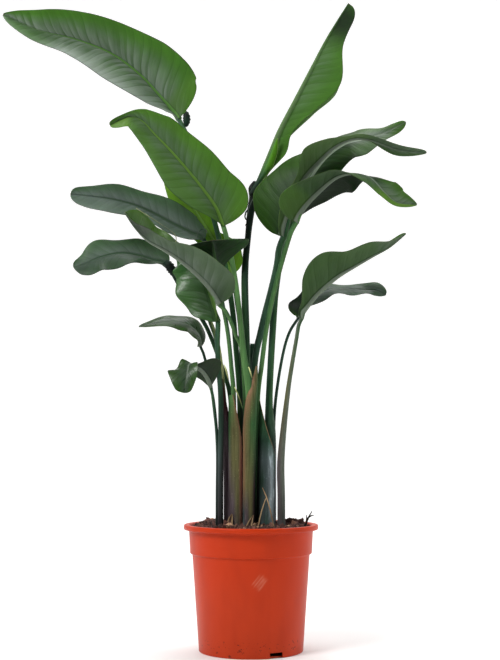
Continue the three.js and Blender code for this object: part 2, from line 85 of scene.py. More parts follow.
# Heaps of bark as (x, y, height), their radius and that of the whole mound, in millimetres
HEAPS = ((74, 30, 11), (-66, 26, 9))
HEAP_RADIUS = 24
MOUND_RADIUS = 110.8

# How finely the pieces are sampled
ROUND_SIDES = 128
BLADE_ROWS = 190
PANEL_COLUMNS = 15
RIB_COLUMNS = (0.35, 0.7, 0.95, 1.3)
STALK_SIDES = 20
RINGS_PER_SPAN = 12
SHEATH_ROWS, SHEATH_COLUMNS = 90, 41
SCRAP_ROWS, SCRAP_COLUMNS = 24, 9
ROD_SIDES = 10
RINGS_PER_ROD_SPAN = 10

# Leaf forms: a side vein each PLEAT_SPACING along the rib, pleats at most PLEAT_HEIGHT high, and a
# blade that keeps INSIDE of its length and width, so that it stays within the solid that it stands for
PLEAT_HEIGHT = 0.5 * MM
PLEAT_SPACING = 18 * MM
INSIDE = 0.998
# A blade rounds off over END_SHARE of its length at both ends, each half of it is at least
# NARROWEST_HALF wide and RIB_LIMIT times as wide as its rib, and it bulges between rib and margin
END_SHARE = 0.07
NARROWEST_HALF = 1.2 * MM
RIB_LIMIT = 1.7
BULGE = 0.16
# The margin's waves in radians over the length, and how far those and the veins of the far half shift
WAVES = 19
FAR_SHIFT = 1.3
# How far a part fades at its ends, as a share of the length
PART_BLEND = 0.06
# The keel's depth at shares of the length, the groove's depth, and the share that a stalk runs under
KEEL_PLACES = (0, 0.06, 1)
KEEL_DEPTHS = (8 * MM, 4.8 * MM, 0.8 * MM)
GROOVE_DEPTH = 0.5 * MM
RUN_ON = 0.08

# Linear colours of a leaf's lighter and darker parts, which are painted light and painted shade as well as
# its own lighter and darker green, of its dry tip, of the dark patches on skin, of the pot's lower wall,
# which is a painted reflection of the floor, and of the pot's flow marks, its scuff and the soil on it
LIGHTER_AND_LIT_PART, DARKER_AND_SHADED_PART, DRY_TIP = (0.11, 0.22, 0.034), (0.004, 0.01, 0.004), (0.08, 0.05, 0.03)
DARK_SKIN = (0.012, 0.011, 0.009)
FLOOR_REFLECTION, FLOW_MARK = (0.5, 0.052, 0.014), (0.36, 0.026, 0.006)
SCUFF, WALL_DIRT = (0.66, 0.24, 0.15), (0.03, 0.01, 0.008)
# The scuff's middle, measured from the underside's centre along its strokes and across them
SCUFF_ALONG, SCUFF_ACROSS = 0.1111, -0.0693
# Soil colours as (dark grains, light grains, fresh chips)
PEAT = ((0.008, 0.003, 0.002), (0.1, 0.036, 0.026), (0.17, 0.07, 0.05))
BARK = ((0.03, 0.011, 0.009), (0.19, 0.078, 0.056), (0.36, 0.21, 0.12))

# The studio: a flat round floor that bends up into a backdrop, in metres
FLOOR_RADIUS, BEND_RADIUS, BACKDROP_HEIGHT = 3.2, 2.6, 4.2
# Its soft lights as (name, place, target, size, share of the key light's power)
LIGHTS = (
    ("key", (-1.6, -1.6, 2.4), (0, 0, 0.6), 1.0, 1.0),
    ("fill", (2.4, -0.8, 1.3), (0, 0, 0.5), 1.4, 0.22),
    ("top", (0.2, 0.6, 2.9), (0, 0, 0.4), 1.6, 0.8),
)

# The camera looks up a little from the front of the studio; its tilt is in degrees
CAMERA_PLACE = (-1.8 * MM, -2250 * MM, 382 * MM)
CAMERA_TILT = 4.78
CAMERA_LENS, CAMERA_SENSOR = 68, 36

# Each leaf: the way it leans, its tint, its waviness, its parts that differ from the tint, its stalk
# from the soil up as (x, y, z, half width) and its blade from base to tip as
# (x, y, z, near half, far half, roll, fold). A row without roll and fold has those of the row before.
# A part is (side, begin, end, tone, bloom): side 1 is the near half, begin and end are shares of the
# length, the tone runs from -1 for dark to 1 for light, and the bloom is that many times the tint's.
# The tone paints shade on parts that lie in shadow and light on parts that light shines through, and
# also darkens or lightens some leaves' own green; the bloom carries painted sheen as well.
LEAVES = {
    "top_left": dict(
        lean=-1, tint="glossy", wave=2, blunt=0.33,
        parts=((-1, 0, 0.2, 0.3, 0.4), (-1, 0.2, 1, 0, 1.3), (1, 0.8, 1, 0, 0.4), (1, 0, 0.8, 0, 1.25)),
        stalk=[(-18, 9, 190, 6.3), (-19, 9, 320, 5.8), (-20, 8, 444, 5.4), (-27, 8, 535, 5),
            (-35, 8, 618, 5), (-52, 9, 712, 4.8), (-80, 12, 818, 4.6), (-108, 34, 910, 4.4)],
        blade=[(-136, 52, 973, 5, 62, 88, 33), (-153, 56, 996, 17, 80), (-175, 55, 1021, 37, 86),
            (-209, 48, 1056, 57, 80), (-261, 38, 1093, 66, 63), (-327, 27, 1117, 50, 53, 86, 31),
            (-397, 17, 1132, 31, 41, 84, 28), (-461, 12, 1161, 12, 7)]),
    "upper_left": dict(
        lean=-1, tint="bright", wave=2,
        parts=((1, 0.86, 1, 0.9, 0), (1, 0, 0.8, 0.12, 2), (-1, 0, 0.12, 0.2, 1),
            (-1, 0.12, 0.9, 0, 1.7)),
        stalk=[(-4, -17, 190, 8.5), (-4, -17, 260, 8.5), (-4, -17, 340, 8.5), (-2, -18, 445, 7.5),
            (-13, -20, 527, 5.5), (-20, -23, 595, 4.6), (-29, -28, 664, 4.4), (-40, -33, 719, 4.4)],
        blade=[(-50, -37, 754, 4, 50, 99, 30), (-62, -43, 786, 26, 75), (-84, -50, 817, 45, 67),
            (-111, -56, 850, 53, 64), (-141, -60, 884, 45, 54), (-171, -62, 915, 34, 47),
            (-195, -62, 940, 30, 26, 99, 34), (-219, -56, 948, 22, 11, 99, 38),
            (-254, -46, 936, 12, 9, 99, 40)]),
    "top_right": dict(
        lean=1, tint="tall", wave=4,
        parts=((1, 0.84, 1, -0.95, 1), (-1, 0, 0.1, -0.6, 0), (-1, 0.1, 0.26, 0.3, 0),
            (-1, 0.55, 0.84, 0, 2.4), (-1, 0.86, 1, -0.9, 1.5)),
        stalk=[(-5, 28, 190, 6.8), (-5, 27, 290, 6.7), (-6, 27, 390, 6.6), (-8, 28, 541, 7),
            (-11, 32, 671, 6.9), (-5, 36, 748, 6.1), (1, 40, 800, 7.6)],
        blade=[(8, 43, 834, 7, 8, 194, 58), (19, 45, 862, 13, 14), (37, 46, 908, 18, 26),
            (54, 46, 950, 25, 25), (83, 45, 1007, 62, 49), (113, 45, 1066, 81, 63),
            (145, 46, 1128, 49, 39), (185, 47, 1194, 27, 21)]),
    "middle_left": dict(
        lean=-1, tint="deep", wave=3,
        parts=((1, 0, 0.12, -0.3, 1), (-1, 0.1, 1, 0, 2), (1, 0.12, 1, 0, 1.6)),
        stalk=[(-40, -5, 190, 6.2), (-41, -5, 300, 6), (-45, -4, 390, 4.8), (-58, 6, 531, 4.2),
            (-78, 14, 599, 4), (-88, 18, 658, 4), (-84, 16, 704, 4)],
        blade=[(-86, 12, 738, 9, 11, 78, 24), (-112, 8, 751, 20, 31), (-144, 2, 766, 25, 37),
            (-179, -4, 784, 25, 35), (-211, -10, 797, 28, 29), (-252, -14, 807, 34, 28, 78, 22),
            (-292, -18, 812, 28, 20, 78, 20), (-327, -22, 815, 15, 11)]),
    "low_centre": dict(
        lean=-1, tint="dark", wave=3,
        parts=((-1, 0, 0.55, 0.75, 0), (1, 0, 0.6, 0.12, 3)),
        stalk=[(-54, -20, 190, 4.9), (-54, -21, 320, 4.9), (-54, -21, 445, 4.8), (-59, -22, 511, 4.6)],
        blade=[(-62, -22, 583, 22, 13, 130, 33), (-72, -16, 618, 44, 25), (-83, -8, 653, 55, 30),
            (-98, 0, 687, 47, 28), (-115, 6, 710, 38, 20, 125, 33), (-135, 10, 720, 15, 10, 120, 33)]),
    "front_left": dict(
        lean=-1, tint="sheen", wave=2,
        parts=((-1, 0.05, 0.55, -0.5, 0.2), (-1, 0.55, 1, 0.35, 0.3), (1, 0, 0.12, -0.3, 0.5),
            (1, 0.12, 0.7, 0, 2.1), (1, 0.74, 1, -0.7, 0.2)),
        stalk=[(-10, -2, 190, 4.4), (-9, -1, 290, 4.3), (-9, -1, 390, 4.2), (-15, -2, 521, 4),
            (-27, -14, 560, 3.8), (-41, -32, 594, 3.8)],
        blade=[(-55, -46, 614, 34, 6, -2, 40), (-74, -60, 641, 62, 15), (-96, -74, 663, 59, 38),
            (-124, -88, 685, 45, 42, 0, 40), (-153, -98, 703, 32, 47, 4, 40),
            (-179, -106, 717, 32, 39, 10, 38), (-201, -112, 739, 46, 37, 25, 34),
            (-219, -116, 765, 31, 20, 32, 30)]),
    "front_middle": dict(
        lean=-1, tint="dark", wave=1,
        parts=((1, 0, 1, -0.2, 0.5), (-1, 0, 1, -0.3, 0)),
        stalk=[(-29, -16, 190, 4.6), (-30, -16, 320, 4.5), (-31, -15, 445, 4.4), (-35, -16, 499, 4),
            (-41, -18, 559, 3.8)],
        blade=[(-51, -23, 617, 5, 6, -84, 14), (-56, -30, 649, 14, 10), (-61, -40, 676, 14, 11),
            (-65, -54, 700, 44, 23, -82, 6), (-67, -66, 714, 63, 43, -80, -1),
            (-69, -76, 722, 65, 45, -78, -5)]),
    "small_left": dict(
        lean=-1, tint="sheen", wave=1,
        parts=((-1, 0, 1, -0.5, 0.5), (1, 0, 1, -0.5, 0.2)),
        stalk=[(-57, 1, 190, 3.3), (-57, 0, 270, 3.1), (-58, 0, 356, 3), (-63, -2, 399, 2.8),
            (-72, -4, 470, 2.6), (-81, -9, 510, 2.6)],
        blade=[(-89, -12, 540, 10, 7, 26, 5), (-94, -14, 560, 25, 26), (-111, -18, 576, 38, 33),
            (-136, -24, 583, 45, 24), (-166, -30, 581, 35, 19, 26, 8), (-200, -36, 573, 5, 3, 26, 10)]),
    "bent_left": dict(
        lean=-1, tint="sheen", wave=1,
        parts=((1, 0, 0.45, -0.75, 0.2), (-1, 0, 0.45, -0.65, 0.2), (1, 0.45, 1, -0.42, 0.8),
            (-1, 0.45, 1, -0.42, 0.8)),
        stalk=[(-60, -12, 190, 3.2), (-60, -12, 270, 3.1), (-60, -12, 356, 3), (-65, -16, 425, 2.8)],
        blade=[(-72, -26, 466, 5, 6, -87, 10), (-83, -38, 489, 37, 15, -81, 10),
            (-97, -52, 501, 12, 27, -57, 8), (-107, -70, 505, 15, 20, 36, 4),
            (-110, -84, 493, 20, 36, 66, 4), (-113, -91, 472, 16, 26, 87, 6),
            (-114, -93, 453, 9, 14, 93, 8)]),
    "low_left": dict(
        lean=-1, tint="deep", wave=3,
        parts=((-1, 0, 1, 0.04, 1.4), (1, 0, 1, -0.4, 0.2)),
        stalk=[(-30, 4, 190, 6.8), (-31, 5, 280, 6.4), (-33, 6, 380, 6), (-38, 10, 453, 4.4),
            (-53, 19, 504, 4), (-78, 27, 570, 3.8), (-101, 32, 609, 3.8), (-129, 34, 650, 3.8)],
        blade=[(-155, 33, 693, 5, 18, 62, 12), (-181, 30, 702, 11, 30), (-208, 25, 710, 20, 32),
            (-240, 19, 713, 37, 29), (-275, 13, 705, 39, 34), (-301, 7, 693, 36, 22),
            (-323, 2, 684, 17, 8)]),
    "upper_right": dict(
        lean=1, tint="bloom", wave=2,
        parts=((-1, 0, 0.45, -0.3, 0.2), (-1, 0.45, 0.8, -0.3, 0.3), (1, 0, 0.75, 0.35, 1.1)),
        stalk=[(-1, 12, 190, 6.2), (2, 11, 340, 6.3), (5, 10, 498, 6.4), (19, 6, 574, 6.6),
            (37, 0, 645, 6.6), (47, -6, 690, 6.4)],
        blade=[(54, -10, 740, 11, 45, 12, 52), (73, -16, 796, 24, 84), (94, -20, 840, 24, 62, 12, 50),
            (121, -26, 871, 51, 46, 5, 40), (150, -33, 898, 38, 35, 5, 28),
            (182, -40, 912, 25, 23, 8, 14), (214, -46, 909, 17, 15, -2, 5),
            (263, -53, 890, 20, 20, -15, 0), (314, -58, 883, 12, 12, -16, 0)]),
    "front_right": dict(
        lean=1, tint="bloom", wave=2,
        parts=((1, 0, 0.22, 0.32, 0.1), (1, 0.22, 0.6, -0.25, 0.5), (-1, 0.05, 0.66, -0.9, 0.1),
            (-1, 0.74, 1, 0.1, 1.8), (1, 0.72, 1, 0.75, 0.3)),
        stalk=[(7, 1, 190, 4.5), (9, -1, 320, 4.5), (12, -2, 445, 4.4), (19, -6, 505, 4.4),
            (28, -14, 573, 4.4), (43, -26, 644, 4.4), (63, -40, 716, 4.4)],
        blade=[(78, -50, 759, 40, 12, -33, 18), (93, -57, 783, 54, 27),
            (117, -67, 808, 49, 52, -30, 10), (150, -78, 834, 33, 62, -22, -4),
            (180, -86, 840, 24, 44, -4, -22), (209, -92, 831, 24, 28, 30, -10),
            (232, -97, 805, 14, 34, 62, 0), (255, -101, 785, 8, 29, 66, 6),
            (289, -106, 780, 5, 6, 66, 15)]),
    "back_right": dict(
        lean=1, tint="bloom", wave=2,
        parts=((1, 0.2, 0.5, -0.6, 0.3), (1, 0.5, 0.8, -0.1, 1.2), (-1, 0.8, 1, 0.1, 0.4),
            (1, 0.8, 1, 0.1, 0.4)),
        stalk=[(29, 1, 190, 15.6), (29, 2, 300, 16), (34, 8, 380, 11), (33, 17, 446, 6.6),
            (40, 22, 576, 6.2), (48, 28, 665, 6)],
        blade=[(67, 36, 763, 5, 7, 39, -6), (99, 40, 835, 49, 38, 39, -10), (134, 42, 889, 52, 52),
            (172, 42, 920, 50, 59), (207, 40, 930, 45, 61, 39, -8), (242, 36, 939, 27, 25, 41, -4),
            (268, 30, 950, 16, 15, 53, 0), (288, 26, 960, 5, 5, 63, 0)]),
    "low_right": dict(
        lean=1, tint="bloom", wave=3,
        parts=((-1, 0, 0.3, -1, 0), (1, 0, 0.08, -0.6, 0.5), (1, 0.08, 0.8, 0.08, 0.3),
            (1, 0.8, 1, -0.1, 1.4), (-1, 0.3, 1, 0.18, 1)),
        stalk=[(54, -8, 190, 7.2), (54, -8, 270, 6.9), (54, -8, 345, 6.6), (66, -12, 459, 4.6),
            (81, -18, 551, 3.8)],
        blade=[(88, -22, 590, 5, 34, 7, 50), (100, -27, 610, 14, 34, 3, 51),
            (122, -33, 635, 50, 36, -1, 52), (153, -41, 661, 59, 43, -3, 48),
            (185, -49, 680, 56, 44, 4, 38), (216, -57, 697, 47, 38, 7, 32),
            (246, -63, 713, 35, 24, 9, 26), (274, -68, 736, 6, 3, 9, 24)]),
    "drooping_right": dict(
        lean=1, tint="deep", wave=3,
        parts=((-1, 0, 0.4, -0.4, 1),),
        stalk=[(42, 25, 190, 3.3), (42, 24, 310, 3.2), (43, 24, 426, 3), (61, 20, 540, 2.8)],
        blade=[(84, 18, 594, 8, 8, 21, 0), (105, 20, 623, 35, 23), (136, 22, 644, 46, 33),
            (172, 22, 649, 37, 28, 24, 0), (205, 20, 646, 17, 19, 36, 0), (229, 16, 644, 12, 20, 62, 0),
            (246, 14, 635, 3, 7)]),
    "back_middle": dict(
        lean=-1, tint="backlit", wave=2,
        parts=((-1, 0, 0.4, -0.25, 1), (1, 0, 1, 0.15, 1)),
        stalk=[(-13, 38, 190, 5.2), (-14, 38, 290, 5.1), (-14, 38, 390, 5), (-18, 40, 554, 4.6),
            (-26, 37, 627, 4.4)],
        blade=[(-35, 32, 676, 6, 29, 100, 20), (-54, 34, 712, 19, 42), (-76, 37, 752, 30, 17),
            (-102, 40, 794, 38, 29), (-130, 40, 835, 29, 37), (-149, 40, 869, 19, 13)]),
}

# Leaf tints: the upper face, its fresher outer part, the underside, the rib, the margin and the waxy
# bloom, as linear colours; the bloom's pale colour also paints sheen. Near is how much bloom covers the
# near half, all of it painted sheen that stands for the floor's reflection, inner how much bloom and
# painted sheen lie in lanes beside the rib, gloss is the roughness, pleats how much the side veins show
# in the shape and in painted shade, shine how strongly the skin mirrors and coat a second gloss.
TINTS = {
    # The glossy tint's pale bloom, mostly on the near half, is painted sheen for the floor's reflection
    "glossy": dict(
        upper=(0.036, 0.088, 0.02), fresh=(0.042, 0.12, 0.013), under=(0.044, 0.092, 0.03),
        rib=(0.1, 0.23, 0.05), edge=(0.022, 0.02, 0.02), bloom=(0.34, 0.37, 0.36),
        near=0.6, inner=0.42, gloss=0.32, pleats=0.6, shine=0.13, coat=0),
    "bright": dict(
        upper=(0.046, 0.112, 0.02), fresh=(0.051, 0.136, 0.012), under=(0.06, 0.115, 0.038),
        rib=(0.12, 0.24, 0.04), edge=(0.03, 0.045, 0.026), bloom=(0.15, 0.19, 0.16),
        near=0.1, inner=0.34, gloss=0.32, pleats=0.55, shine=0.13, coat=0),
    "tall": dict(
        upper=(0.04, 0.12, 0.012), fresh=(0.046, 0.132, 0.01), under=(0.043, 0.132, 0.012),
        rib=(0.09, 0.16, 0.06), edge=(0.11, 0.15, 0.07), bloom=(0.24, 0.26, 0.25),
        near=0.06, inner=0.12, gloss=0.34, pleats=0.6, shine=0.12, coat=0),
    "deep": dict(
        upper=(0.058, 0.092, 0.063), fresh=(0.05, 0.09, 0.049), under=(0.036, 0.062, 0.038),
        rib=(0.05, 0.088, 0.052), edge=(0.012, 0.018, 0.012), bloom=(0.16, 0.195, 0.18),
        near=0.35, inner=0.5, gloss=0.34, pleats=0.3, shine=0.1, coat=0),
    "dark": dict(
        upper=(0.012, 0.048, 0.009), fresh=(0.02, 0.085, 0.01), under=(0.014, 0.034, 0.012),
        rib=(0.036, 0.09, 0.024), edge=(0.03, 0.07, 0.018), bloom=(0.14, 0.19, 0.15),
        near=0.06, inner=0.12, gloss=0.27, pleats=1, shine=0.26, coat=0.07),
    "bloom": dict(
        upper=(0.024, 0.06, 0.015), fresh=(0.034, 0.088, 0.012), under=(0.044, 0.078, 0.036),
        rib=(0.15, 0.19, 0.14), edge=(0.07, 0.11, 0.045), bloom=(0.19, 0.225, 0.195),
        near=0.2, inner=0.42, gloss=0.32, pleats=0.55, shine=0.06, coat=0),
    "sheen": dict(
        upper=(0.026, 0.066, 0.02), fresh=(0.04, 0.1, 0.016), under=(0.044, 0.08, 0.036),
        rib=(0.15, 0.19, 0.14), edge=(0.09, 0.14, 0.06), bloom=(0.2, 0.235, 0.205),
        near=0.1, inner=0.35, gloss=0.24, pleats=0.45, shine=0.24, coat=0.05),
    # The backlit tint paints light shining through the leaf from behind into its bright yellow-greens
    "backlit": dict(
        upper=(0.11, 0.23, 0.022), fresh=(0.13, 0.28, 0.02), under=(0.09, 0.21, 0.018),
        rib=(0.16, 0.32, 0.06), edge=(0.12, 0.24, 0.04), bloom=(0.1, 0.2, 0.05),
        near=0, inner=0, gloss=0.42, pleats=0.4, shine=0.1, coat=0),
}

# Skin colours of stalks, sheaths and dry bits, as linear colours
SKINS = {
    "fresh": (0.102, 0.22, 0.073),
    "green": (0.036, 0.105, 0.034),
    "teal": (0.04, 0.092, 0.058),
    # black is the twig's own colour, and painted shade on stalks, sheaths, joints and the fray
    "pine": (0.014, 0.036, 0.022),
    "black": (0.006, 0.01, 0.008),
    "olive": (0.115, 0.11, 0.045),
    "tan": (0.23, 0.135, 0.072),
    "straw": (0.48, 0.33, 0.18),
    "cream": (0.38, 0.42, 0.18),
    "lime": (0.085, 0.26, 0.012),
    "rose": (0.27, 0.095, 0.075),
    "maroon": (0.055, 0.014, 0.018),
    "wine": (0.024, 0.014, 0.019),
    "mauve": (0.085, 0.066, 0.072),
    "grey": (0.12, 0.145, 0.11),
    "slate": (0.048, 0.066, 0.066),
    "frost": (0.215, 0.26, 0.275),
    "bark": (0.045, 0.026, 0.018),
}

# Each stalk's skin at some heights in millimetres, from its left side to its right side; black is
# painted shade, where a stalk stands in shadow low among the others and high on the top right stalk
STALK_SKINS = {
    "top_left": ((200, "mauve wine"), (330, "olive pine"), (450, "green pine"), (700, "teal green")),
    "upper_left": ((200, "mauve olive"), (330, "olive fresh"), (450, "fresh green"), (700, "fresh fresh")),
    "top_right": ((200, "wine black"), (480, "pine green"), (620, "green teal"), (690, "black pine"),
                  (830, "black black")),
    "middle_left": ((200, "wine wine"), (430, "maroon wine"), (520, "green cream"), (720, "teal pine")),
    "low_centre": ((200, "wine black"), (330, "slate black"), (440, "teal pine"), (580, "teal green")),
    "front_left": ((200, "wine wine"), (400, "green pine"), (520, "fresh green"), (600, "fresh green")),
    "front_middle": ((200, "wine wine"), (400, "green olive"), (480, "fresh green"), (600, "fresh teal")),
    "small_left": ((200, "black black"), (330, "slate pine"), (430, "teal green"), (540, "teal pine")),
    "bent_left": ((200, "black black"), (330, "slate pine"), (400, "teal pine"), (460, "green teal")),
    "low_left": ((200, "wine wine"), (400, "pine green"), (520, "green teal"), (640, "pine black")),
    "upper_right": ((200, "black black"), (440, "pine green"), (560, "pine teal"), (740, "teal green")),
    "front_right": ((200, "black black"), (400, "pine green"), (500, "green fresh"), (750, "green fresh")),
    "back_right": ((200, "slate slate"), (350, "teal slate"), (450, "teal green"), (700, "teal green")),
    "low_right": ((200, "mauve slate"), (330, "mauve grey"), (450, "olive grey"), (580, "grey green")),
    "drooping_right": ((200, "black black"), (400, "black pine"), (520, "pine teal"), (600, "pine pine")),
    "back_middle": ((200, "wine black"), (400, "pine green"), (560, "pine fresh"), (650, "green fresh")),
}

# Sheaths round the feet of the stalks, as thin shells seen from the front. Each row is
# (x, y, height, half width, depth) and then where the shell begins and ends across it, from -1 to 1.
# The tones are skins at some heights from the left side to the right side, then the two margins; black in
# the tones is painted shade, where a sheath lies in shadow behind another or low at a leaf's foot.
SHEATHS = {
    "purple": dict(
        rows=[(-41, -6, 204, 7.2, 6.5, -1, 1), (-42, -6, 300, 6.8, 6.3, -1, 1),
            (-44, -6, 380, 6, 5.6, -1, 1), (-45, -4, 415, 5.8, 5.4, -1, 0.9),
            (-48.5, -2, 448, 5.4, 5.2, -1, 0.5), (-52.5, 1, 484, 5, 4.8, -0.6, 0.1)],
        tones=[(204, "wine mauve wine"), (300, "mauve wine black"), (400, "wine mauve wine"),
            (430, "mauve maroon maroon"), (484, "maroon maroon maroon")],
        margins=("mauve", "maroon")),
    "left": dict(
        rows=[(-28, -13, 204, 12.4, 13, -1, 1), (-28, -13, 300, 12.4, 13, -1, 1),
            (-28, -13, 368, 12, 12.5, -1, 0.96), (-29, -13, 400, 11.2, 11.5, -1, 0.7),
            (-30, -13, 428, 10, 10.5, -1, 0.35), (-31, -13, 452, 8.6, 9.5, -1, -0.1)],
        tones=[(204, "mauve wine mauve tan"), (260, "wine mauve olive rose"),
            (330, "mauve olive olive rose"), (390, "green olive olive tan"),
            (452, "green fresh tan tan")],
        margins=("wine", "rose")),
    "centre": dict(
        rows=[(-4.5, -17, 204, 9.6, 9.5, -1, 1), (-4, -17, 280, 10.2, 10, -1, 1),
            (-3, -17, 345, 11.2, 10.5, -1, 1), (-2.5, -17, 395, 11.9, 10.5, -0.96, 1),
            (0, -17, 443, 10.8, 10, -0.84, 1), (5.5, -14, 475, 7.6, 7.5, -0.6, 1),
            (9.8, -10, 504, 3.6, 4.5, -0.3, 0.6)],
        tones=[(204, "slate mauve slate wine"), (245, "slate mauve olive wine"),
            (290, "tan olive olive wine"), (400, "tan olive green green"),
            (460, "tan tan olive green"), (504, "straw tan olive green")],
        margins=("tan", "pine")),
    "right": dict(
        rows=[(28, -2, 204, 16.6, 11.5, -1, 1), (28, -2, 300, 16.6, 11.5, -1, 1),
            (28, -1, 341, 16.4, 11.5, -1, 1), (28, 0, 390, 15.8, 11, -1, 0.08),
            (28, 1, 430, 14.8, 10.5, -1, -0.62), (27.5, 2, 452, 14, 10, -1, -0.93)],
        tones=[(204, "pine slate teal slate mauve"), (250, "black slate slate frost slate"),
            (300, "black pine slate frost slate"), (335, "black slate slate frost teal"),
            (370, "black pine pine teal slate"), (452, "green green green teal tan")],
        margins=("black", "tan")),
    # The rolled base is black low down, painted shade, and lime higher up, its fresh green partly painted
    # light on the lit fold
    "rolled_base": dict(
        rows=[(1.6, 36, 826, 6, 9, -0.9, 0.9), (16, 36, 851, 6.4, 9, -0.9, 0.9),
            (32, 37, 877, 9.4, 9, -0.9, 0.9), (41.5, 38, 903, 8, 9, -0.8, 0.9),
            (46, 38, 920, 4.6, 8, -0.8, 0.9), (49, 38, 931, 0.9, 7, -0.8, 0.9)],
        tones=[(820, "black black pine"), (845, "pine pine green"), (862, "pine green lime"),
            (880, "green lime lime"), (905, "green lime lime"), (931, "green lime lime")],
        margins=("green", "cream")),
}

# Rods: remnants, dry fibres, thread-like curls and dark joints, whose black is painted shade on leaf
# bases in shadow. Each row is (x, y, height, half width), the skins run from the foot to the tip, and the
# node is the solid that a rod stands for, if any.
RODS = {
    "stub": dict(
        rows=[(2, 42, 196, 5.4), (2, 42, 380, 5.2), (3, 41, 535, 4.9), (3, 41, 541, 4.4)],
        flat=0.8, skins="wine pine teal teal", slot="sheath", node="cut_stalk"),
    "fibre_left": dict(
        rows=[(10, -29, 208, 0.9), (14, -30, 226, 1), (18, -29, 244, 0.9), (23, -27, 260, 0.8),
            (27.5, -26, 272, 0.5)],
        flat=0.6, skins="tan straw straw straw", slot="dry", node="dry_fibre_left"),
    "fibre_right": dict(
        rows=[(44, -29, 208, 0.7), (38, -30, 230, 0.9), (33, -30, 252, 1), (27, -30, 272, 0.9),
            (20, -29, 288, 0.5)],
        flat=0.6, skins="straw tan straw tan", slot="dry", node="dry_fibre_right"),
    "twig": dict(
        rows=[(92, -20, 210, 2), (96, -20, 221, 1.8), (101, -20, 233, 1.6), (108, -20, 246, 0.7)],
        flat=0.9, skins="bark black black bark", slot="twig", node="twig"),
    "twig_fork": dict(
        rows=[(97, -20, 224, 1.5), (98.5, -22, 233, 1.2), (98, -23, 240, 0.5)],
        flat=0.9, skins="black bark black", slot="twig"),
    "twig_spur": dict(
        rows=[(102, -20, 235, 1.3), (107, -19, 238, 1.1), (112, -19, 239, 0.4)],
        flat=0.9, skins="black bark", slot="twig"),
    # Dark knob at the top left blade's base: its black is painted shade on a lobe base in shadow
    "joint_top_left": dict(
        rows=[(-122, 46, 956, 2.4), (-121, 46, 963, 6), (-120.5, 46, 972, 7), (-122, 47, 981, 5.4),
            (-126, 48, 986, 2)],
        flat=0.8, skins="black pine black pine", slot="stalk"),
    # Dark piece at the low left blade's base: its black is painted shade on the lobe base in shadow
    "joint_low_left": dict(
        rows=[(-140, 33, 672, 4.2), (-145, 33, 682, 7.6), (-151, 33, 692, 8.2), (-158, 33, 700, 5.2)],
        flat=0.8, skins="pine black black pine", slot="stalk"),
    "thread_left": dict(
        rows=[(-200, -105, 774, 0.5), (-166, -97, 753, 0.8), (-134, -90, 731, 0.9),
            (-132, -88, 715, 0.5)],
        flat=0.8, skins="cream grey cream", slot="dry"),
    "thread_joint": dict(
        rows=[(5.5, 27, 819, 0.5), (0, 26, 808, 0.8), (-4.5, 26, 796, 0.9), (-6.5, 27, 783, 0.5)],
        flat=0.7, skins="grey slate grey", slot="dry"),
    # The fray's black is painted shade at the foot of the top right blade
    "fray_joint": dict(
        rows=[(-3, 32, 800, 0.8), (-9, 31, 792, 1.5), (-11, 30, 782, 1.3), (-7, 31, 774, 1.2),
            (-11, 31, 766, 0.5)],
        flat=0.7, skins="black slate black black", slot="dry"),
    "curl_front": dict(
        rows=[(-99, -80, 721, 0.5), (-94, -80, 733, 0.9), (-87, -80, 741, 1.1), (-80, -80, 741, 0.9),
            (-77, -80, 734, 0.5)],
        flat=0.7, skins="grey pine grey", slot="dry"),
    "edge_upper": dict(
        rows=[(-29, -24, 466, 0.9), (-25, -25, 456, 1.1), (-20, -26, 444, 1.1), (-15, -27, 428, 0.7)],
        flat=0.5, skins="cream cream olive green", slot="sheath"),
    "edge_middle": dict(
        rows=[(-4.5, -26, 502, 0.8), (-1.5, -27, 494, 1.2), (2, -27, 482, 1)],
        flat=0.5, skins="cream cream olive", slot="sheath"),
    "edge_left": dict(
        rows=[(-48, -24, 506, 0.6), (-44, -22, 494, 1.8), (-40, -20, 478, 0.8)],
        flat=0.4, skins="cream cream olive", slot="sheath"),
}

# Flat dry scraps in the soil: rows of (x, y, height, half width), and the solid they stand for, if any
SCRAPS = {
    "scrap_left": dict(
        rows=[(-38, -27, 206, 6.4), (-38, -28, 222, 5.6), (-36, -27, 234, 3.4), (-34, -27, 242, 0.5)],
        node="dry_scrap_left"),
    "scrap_right": dict(
        rows=[(-6, -33, 206, 6.6), (-4, -33.5, 219, 5.6), (0, -32.5, 231, 3.2), (4, -31, 240, 0.5)],
        node="dry_scrap_right"),
    "scrap_foot": dict(rows=[(-2, -33, 206, 2.6), (4, -33.5, 215, 3.2), (8, -33, 224, 0.6)]),
}

# Numbers and curves

def smooth_step(low, high, value):
    """0 below low, 1 above high and a soft turn between them."""
    t = np.clip((value - low) / (high - low), 0, 1)
    return t * t * (3 - 2 * t)


def along(rows, s):
    """Smooth interpolation through rows of numbers, with s counted in rows."""
    rows = np.asarray(rows, float)
    s = np.atleast_1d(np.asarray(s, float))
    last = len(rows) - 1
    index = np.clip(np.floor(s).astype(int), 0, last - 1)
    t = (s - index)[:, None]
    before, here, after, beyond = (rows[np.clip(index + k, 0, last)] for k in (-1, 0, 1, 2))
    leaving = (after - before) / 2
    arriving = (beyond - here) / 2
    a = 2 * here - 2 * after + leaving + arriving
    b = 3 * after - 3 * here - 2 * leaving - arriving
    return ((a * t + b) * t + leaving) * t + here


def resampled(rows, count):
    """The same curve as the rows, at evenly spread places."""
    return along(rows, np.linspace(0, len(rows) - 1, count))


def unit(vectors):
    """The same directions, each with length 1."""
    return vectors / np.maximum(np.linalg.norm(vectors, axis=-1, keepdims=True), 1e-12)


def tangents(path, s):
    """The directions of a path."""
    step = 0.02
    last = len(path) - 1
    return unit(along(path, np.minimum(last, s + step)) - along(path, np.maximum(0, s - step)))


